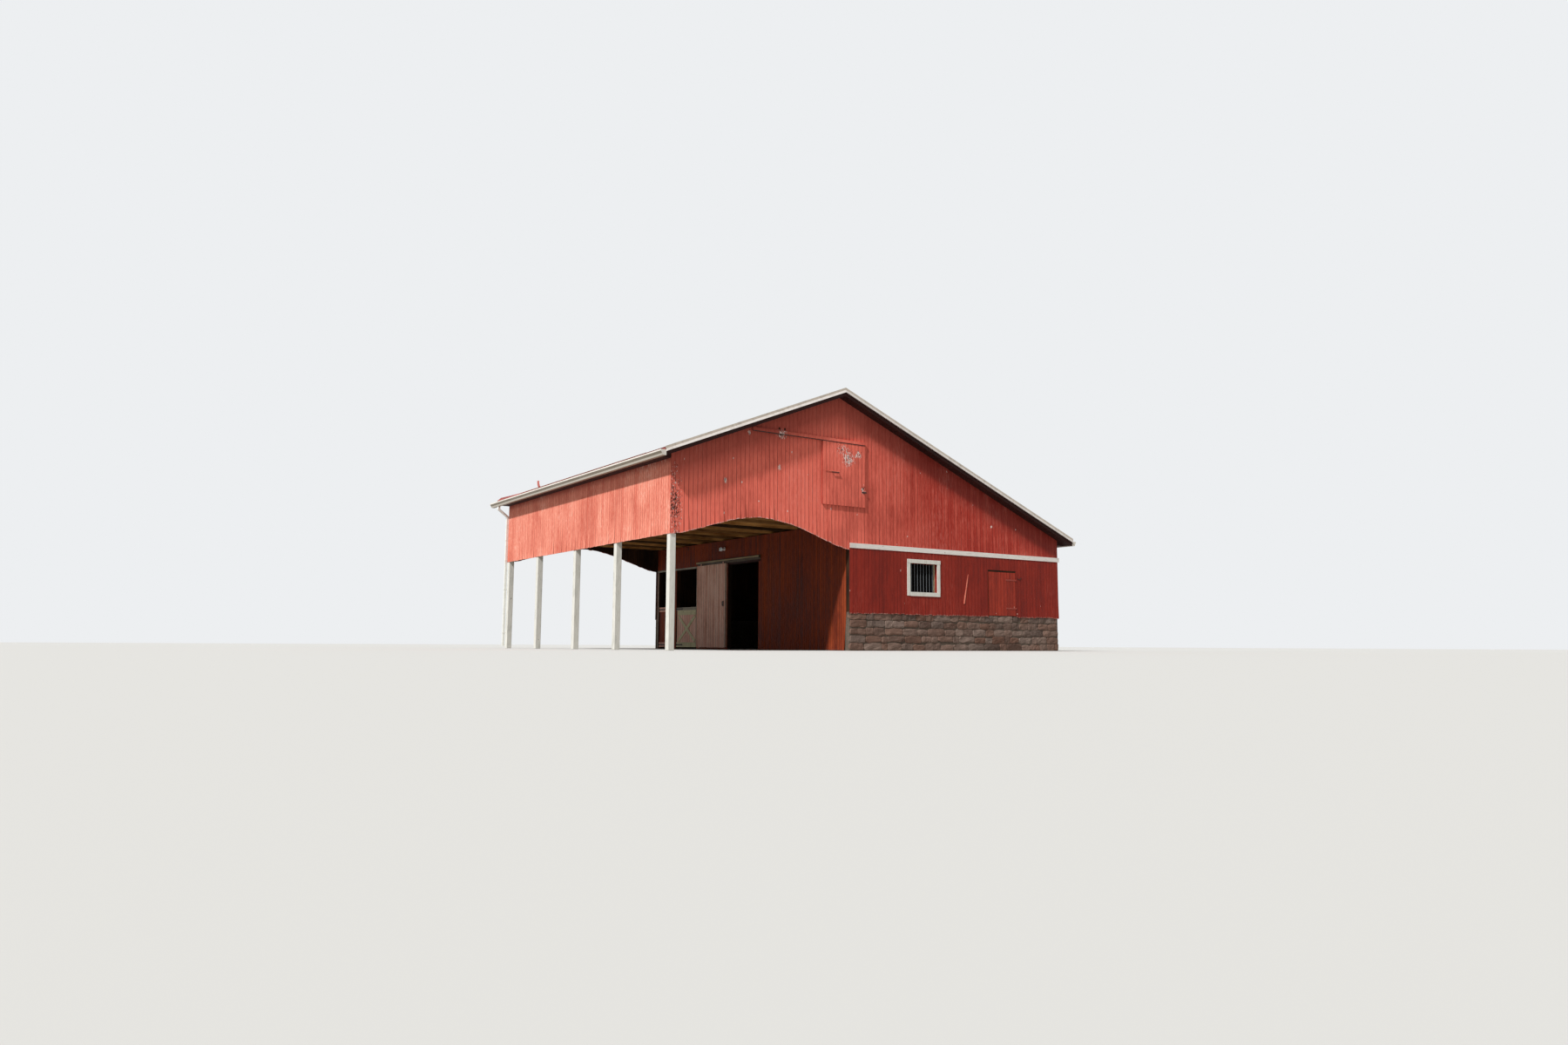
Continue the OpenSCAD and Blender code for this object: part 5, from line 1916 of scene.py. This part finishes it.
@dataclass
class HalfDoors:
    """The two half doors: boards behind the rails, a worn cap and iron straps."""

    patterns: Patterns
    stall: Span = (7176, 8394)
    far: Span = (8626, 9514)
    foot: float = 50
    stall_top: float = 1210
    far_top: float = 1250
    board: float = 110
    front: float = 4745
    front_face: float = 4770
    back: float = 4792
    stall_pin: float = 8397
    far_pin: float = 9517
    low_strap: float = 120
    pin: float = 0.0248
    bolts: tuple[float, ...] = (60, 200, 340)

    def straps(self, name: str, pin_y: float, heights: tuple[float, ...], body: Body) -> None:
        """Covers the strap hinges of one door with iron.

        Args:
            name: Name of the piece.
            pin_y: Where the hinge pins stand.
            heights: Heights of the straps.
            body: The door.
        """
        iron = Joinery(name)
        bolts = []
        for z in heights:
            iron.board((self.front - 1.5, self.front), (pin_y - 380, pin_y), (z - 20, z + 20))
            iron.bar(
                at(self.front - 7, pin_y, z - 20), at(self.front - 7, pin_y, z + 20), self.pin, sides=20)
            bolts += [(at(self.front - 2, pin_y - d, z), -TOWARDS_REAR) for d in self.bolts]
        iron.done(HINGE_IRON, body)
        self.patterns.bolts.fit(name + "_bolts", bolts, HINGE_IRON, body)

    def build(self) -> None:
        """Boards both doors, caps the near one and covers the straps."""
        boards = self.patterns.boards
        boards.cover("stall_door_boards", [wall(
            Side.FRONT, self.front_face, self.stall, self.foot, self.stall_top, pitch=self.board)],
            DOOR_STAIN, Body.STALL_DOOR, thickness=0.006, seed=42)
        boards.cover("far_door_boards", [wall(
            Side.FRONT, self.front_face, self.far, self.foot, self.far_top, pitch=self.board)],
            STABLE_SHADE_PAINT, Body.FAR_STALL_DOOR, thickness=0.006, seed=43)
        dress_nodes(CREAM_PAINT, "stall_half_door")
        dress_nodes(DOOR_STAIN, "far_half_door")
        for name, ends, top, body in (("stall_door", self.stall, self.stall_top, Body.STALL_DOOR),
                                      ("far_door", self.far, self.far_top, Body.FAR_STALL_DOOR)):
            LedgedBack(self.patterns, name, wall(
                Side.REAR, self.back, ends, self.foot, top, pitch=self.board),
                (ends[0] + 26, ends[1] - 26), (200, top - 150), body).build()
        cap = Joinery("stall_door_cap")
        start, top = self.front + 1, self.stall_top
        cap.board((start, start + 4), self.stall, (top - 82, top))
        cap.board((start, start + 48), self.stall, (top, top + 4))
        cap.done(SILVER_WOOD, Body.STALL_DOOR)
        self.straps(
            "stall_door_straps", self.stall_pin, (self.low_strap, self.stall_top - 40), Body.STALL_DOOR)
        self.straps(
            "far_door_straps", self.far_pin, (self.low_strap, self.far_top - 70), Body.FAR_STALL_DOOR)


@dataclass
class Foundation:
    """Rubble walls under the stable, laid in courses."""

    patterns: Patterns
    course: float = 180
    stone: float = 380
    proud: float = 18
    thick: float = 90
    inset: float = 20
    overlap: float = 1.15
    seed: int = 5

    def course_points(self, dice: random.Random, start: float, end: float) -> list[tuple[float, ...]]:
        """Spreads stones over a face.

        Args:
            dice: Source of the stones' sizes.
            start: Start of the face along its run.
            end: End of the face.

        Returns:
            Middle along the run, middle height, length and height of each stone.
        """
        stones = []
        rows = int(SHAPE.foundation / self.course)
        for row in range(rows):
            edge = start
            while edge < end - 60:
                size = min(self.stone * dice.uniform(0.45, 1.5), end - edge)
                if end - edge - size < 90:
                    size = end - edge
                tall = self.course * dice.uniform(0.75, 1.05)
                lift = dice.uniform(-0.5, 0.5) * (self.course - tall)
                stones.append((edge + size / 2, (row + 0.5) * self.course + lift, size * 1.1, tall * 1.1))
                edge += size
        return stones

    def build(self) -> None:
        """Lays the stones and dresses the mortar behind them."""
        dice = random.Random(self.seed)
        thick, inset = self.thick, self.inset
        places, sizes = [], []
        sides, back = (SHAPE.forebay + 4, SHAPE.width - inset), SHAPE.length - inset
        for ends, stand, side in ((sides, inset, Side.NEAR), (sides, back, Side.FAR),
                                  ((inset, back), SHAPE.width - inset, Side.REAR)):
            middle = stand + (self.proud - thick / 2) * (-1 if side is Side.NEAR else 1)
            for run, z, long, tall in self.course_points(dice, *ends):
                if side is Side.REAR:
                    places.append(at(middle, run, z))
                    sizes.append((thick / 1000 * self.overlap, long / 1000, tall / 1000))
                else:
                    places.append(at(run, middle, z))
                    sizes.append((long / 1000, thick / 1000 * self.overlap, tall / 1000))
        self.patterns.stones.grow("foundation_stones", {
            "Seed": self.seed, "Rough": 0.07}, FIELD_STONE, points=places, marks={"size": sizes})
        dress_nodes(LIME_MORTAR, "side_foundations", "rear_foundation")


@dataclass
class Fittings:
    """Small things on the walls: the floodlight's glass and the leaning batten."""

    lamp_z: float = 2780
    lamp_y: float = 5650
    batten: tuple[float, float, float, float] = (8375, 1180, 8540, 1930)

    def build(self) -> None:
        """Dresses the floodlight and fixes the small pieces."""
        dress_nodes(LAMP_ENAMEL, "floodlight")
        glass = Joinery("floodlight_glass")
        for side in (-1, 1):
            turn = Matrix.Rotation(math.radians(-100), 3, "Y")
            turn = turn @ Matrix.Rotation(math.radians(30 * side), 3, "X")
            aim = turn @ Vector((0, 0, 1))
            root = at(SHAPE.forebay - 30, self.lamp_y + side * 25, self.lamp_z)
            glass.bar(root + aim * 0.1495, root + aim * 0.156, 0.098, sides=24)
        glass.done(LAMP_GLASS)
        batten = Joinery("wall_batten")
        x0, z0, x1, z1 = self.batten
        foot, head = at(x0, -26, z0), at(x1, -12, z1)
        wide = TOWARDS_REAR * 0.032
        batten.prism([foot, foot + wide, head + wide * 0.8, head], ALONG_RIDGE * 0.014)
        batten.done(replace(FRONT_PAINT, slot=Slot.RED_SIDING))


@dataclass
class Studio:
    """Pale floor, soft light and the camera at the photo's view."""

    eye: tuple[float, float, float] = (-16.330, -24.383, 0.122)
    right: tuple[float, float, float] = (0.82560804, -0.56422423, 0.0047318)
    up: tuple[float, float, float] = (-0.06941696, -0.09324569, 0.99322028)
    lens: float = 24.08
    sky: float = 0.34
    sun: float = 3.8
    sun_way: tuple[float, float, float] = (0.93, 0.305, -1.0)

    def camera(self) -> None:
        """Sets the camera where the photo was taken."""
        data = bpy.data.cameras.new("photo_view")
        data.lens = self.lens
        data.sensor_width = 36.0
        data.sensor_fit = "HORIZONTAL"
        data.clip_end = 400.0
        camera = new_object("photo_view", data)
        side, top = Vector(self.right), Vector(self.up)
        back = side.cross(top)
        turn = Matrix((side, top, back)).transposed().to_4x4()
        camera.matrix_world = Matrix.Translation(self.eye) @ turn
        bpy.context.scene.camera = camera

    def floor(self) -> None:
        """Lays a wide pale floor under the barn."""
        mesh = bpy.data.meshes.new("studio_floor")
        reach = 150.0
        mesh.from_pydata([(-reach, -reach, -0.001), (reach, -reach, -0.001), (reach, reach, -0.001),
                          (-reach, reach, -0.001)], [], [(0, 1, 2, 3)])
        material = bpy.data.materials.new("matt_studio_floor")
        material.use_nodes = True
        tree = material.node_tree
        shader = tree.nodes["Principled BSDF"]
        # The floor is seen pale, but throws back only as much light as dry ground does
        add = partial(add_node, tree)
        shown = add(MIX, {0: self.seen(add), 6: "#B2B0AA", 7: "#D3D2CE"}, data_type="RGBA")
        wire(shader, {"Base Color": shown, "Roughness": 0.95, "Specular IOR Level": 0.1})
        mesh.materials.append(material)
        new_object("studio_floor", mesh)

    def seen(self, add: Add) -> Node:
        """One where a ray comes from the camera, off gloss or through glass, otherwise zero.

        Args:
            add: Adds a node.

        Returns:
            The node that gives it.
        """
        rays = add("ShaderNodeLightPath").outputs
        seen = add(MATH, (rays["Is Camera Ray"], rays["Is Glossy Ray"]), operation="ADD")
        return add(MATH, (seen, rays["Is Transmission Ray"]), operation="ADD", use_clamp=True)

    def light(self) -> None:
        """Adds the soft sky and a broad soft key light from the front left."""
        world = bpy.data.worlds.new("studio_sky")
        bpy.context.scene.world = world
        world.use_nodes = True
        tree = world.node_tree
        add = partial(add_node, tree)
        tree.nodes.clear()
        soft = add("ShaderNodeBackground", {"Color": "#FFFFFF", "Strength": self.sky})
        shown = add("ShaderNodeBackground", {"Color": "#EDEFF1", "Strength": 1.0})
        both = add("ShaderNodeMixShader", (self.seen(add), soft, shown))
        add("ShaderNodeOutputWorld", (both,))
        key = bpy.data.lights.new("soft_key", "SUN")
        key.energy = self.sun
        key.angle = math.radians(3)
        lamp = new_object("soft_key", key)
        lamp.matrix_world = Vector(self.sun_way).to_track_quat("-Z", "Y").to_matrix().to_4x4()

    def build(self) -> None:
        """Sets camera, floor and light."""
        bpy.context.scene.view_settings.view_transform = "Standard"
        self.camera()
        self.floor()
        self.light()


def main() -> None:
    """Builds the studio and every part of the barn."""
    logging.basicConfig(level=logging.INFO, format="%(name)s: %(message)s")
    patterns = Patterns()
    for part in (Studio(), Siding(patterns), StableFront(patterns), Forebay(), Roof(patterns),
                 RainGoods(patterns), BarredWindow(patterns), LoftDoor(patterns), HatchDoor(patterns),
                 SlidingDoor(patterns), HalfDoors(patterns), Foundation(patterns), Fittings()):
        LOG.info("building %s", type(part).__name__)
        part.build()


if __name__ == "__main__":
    main()
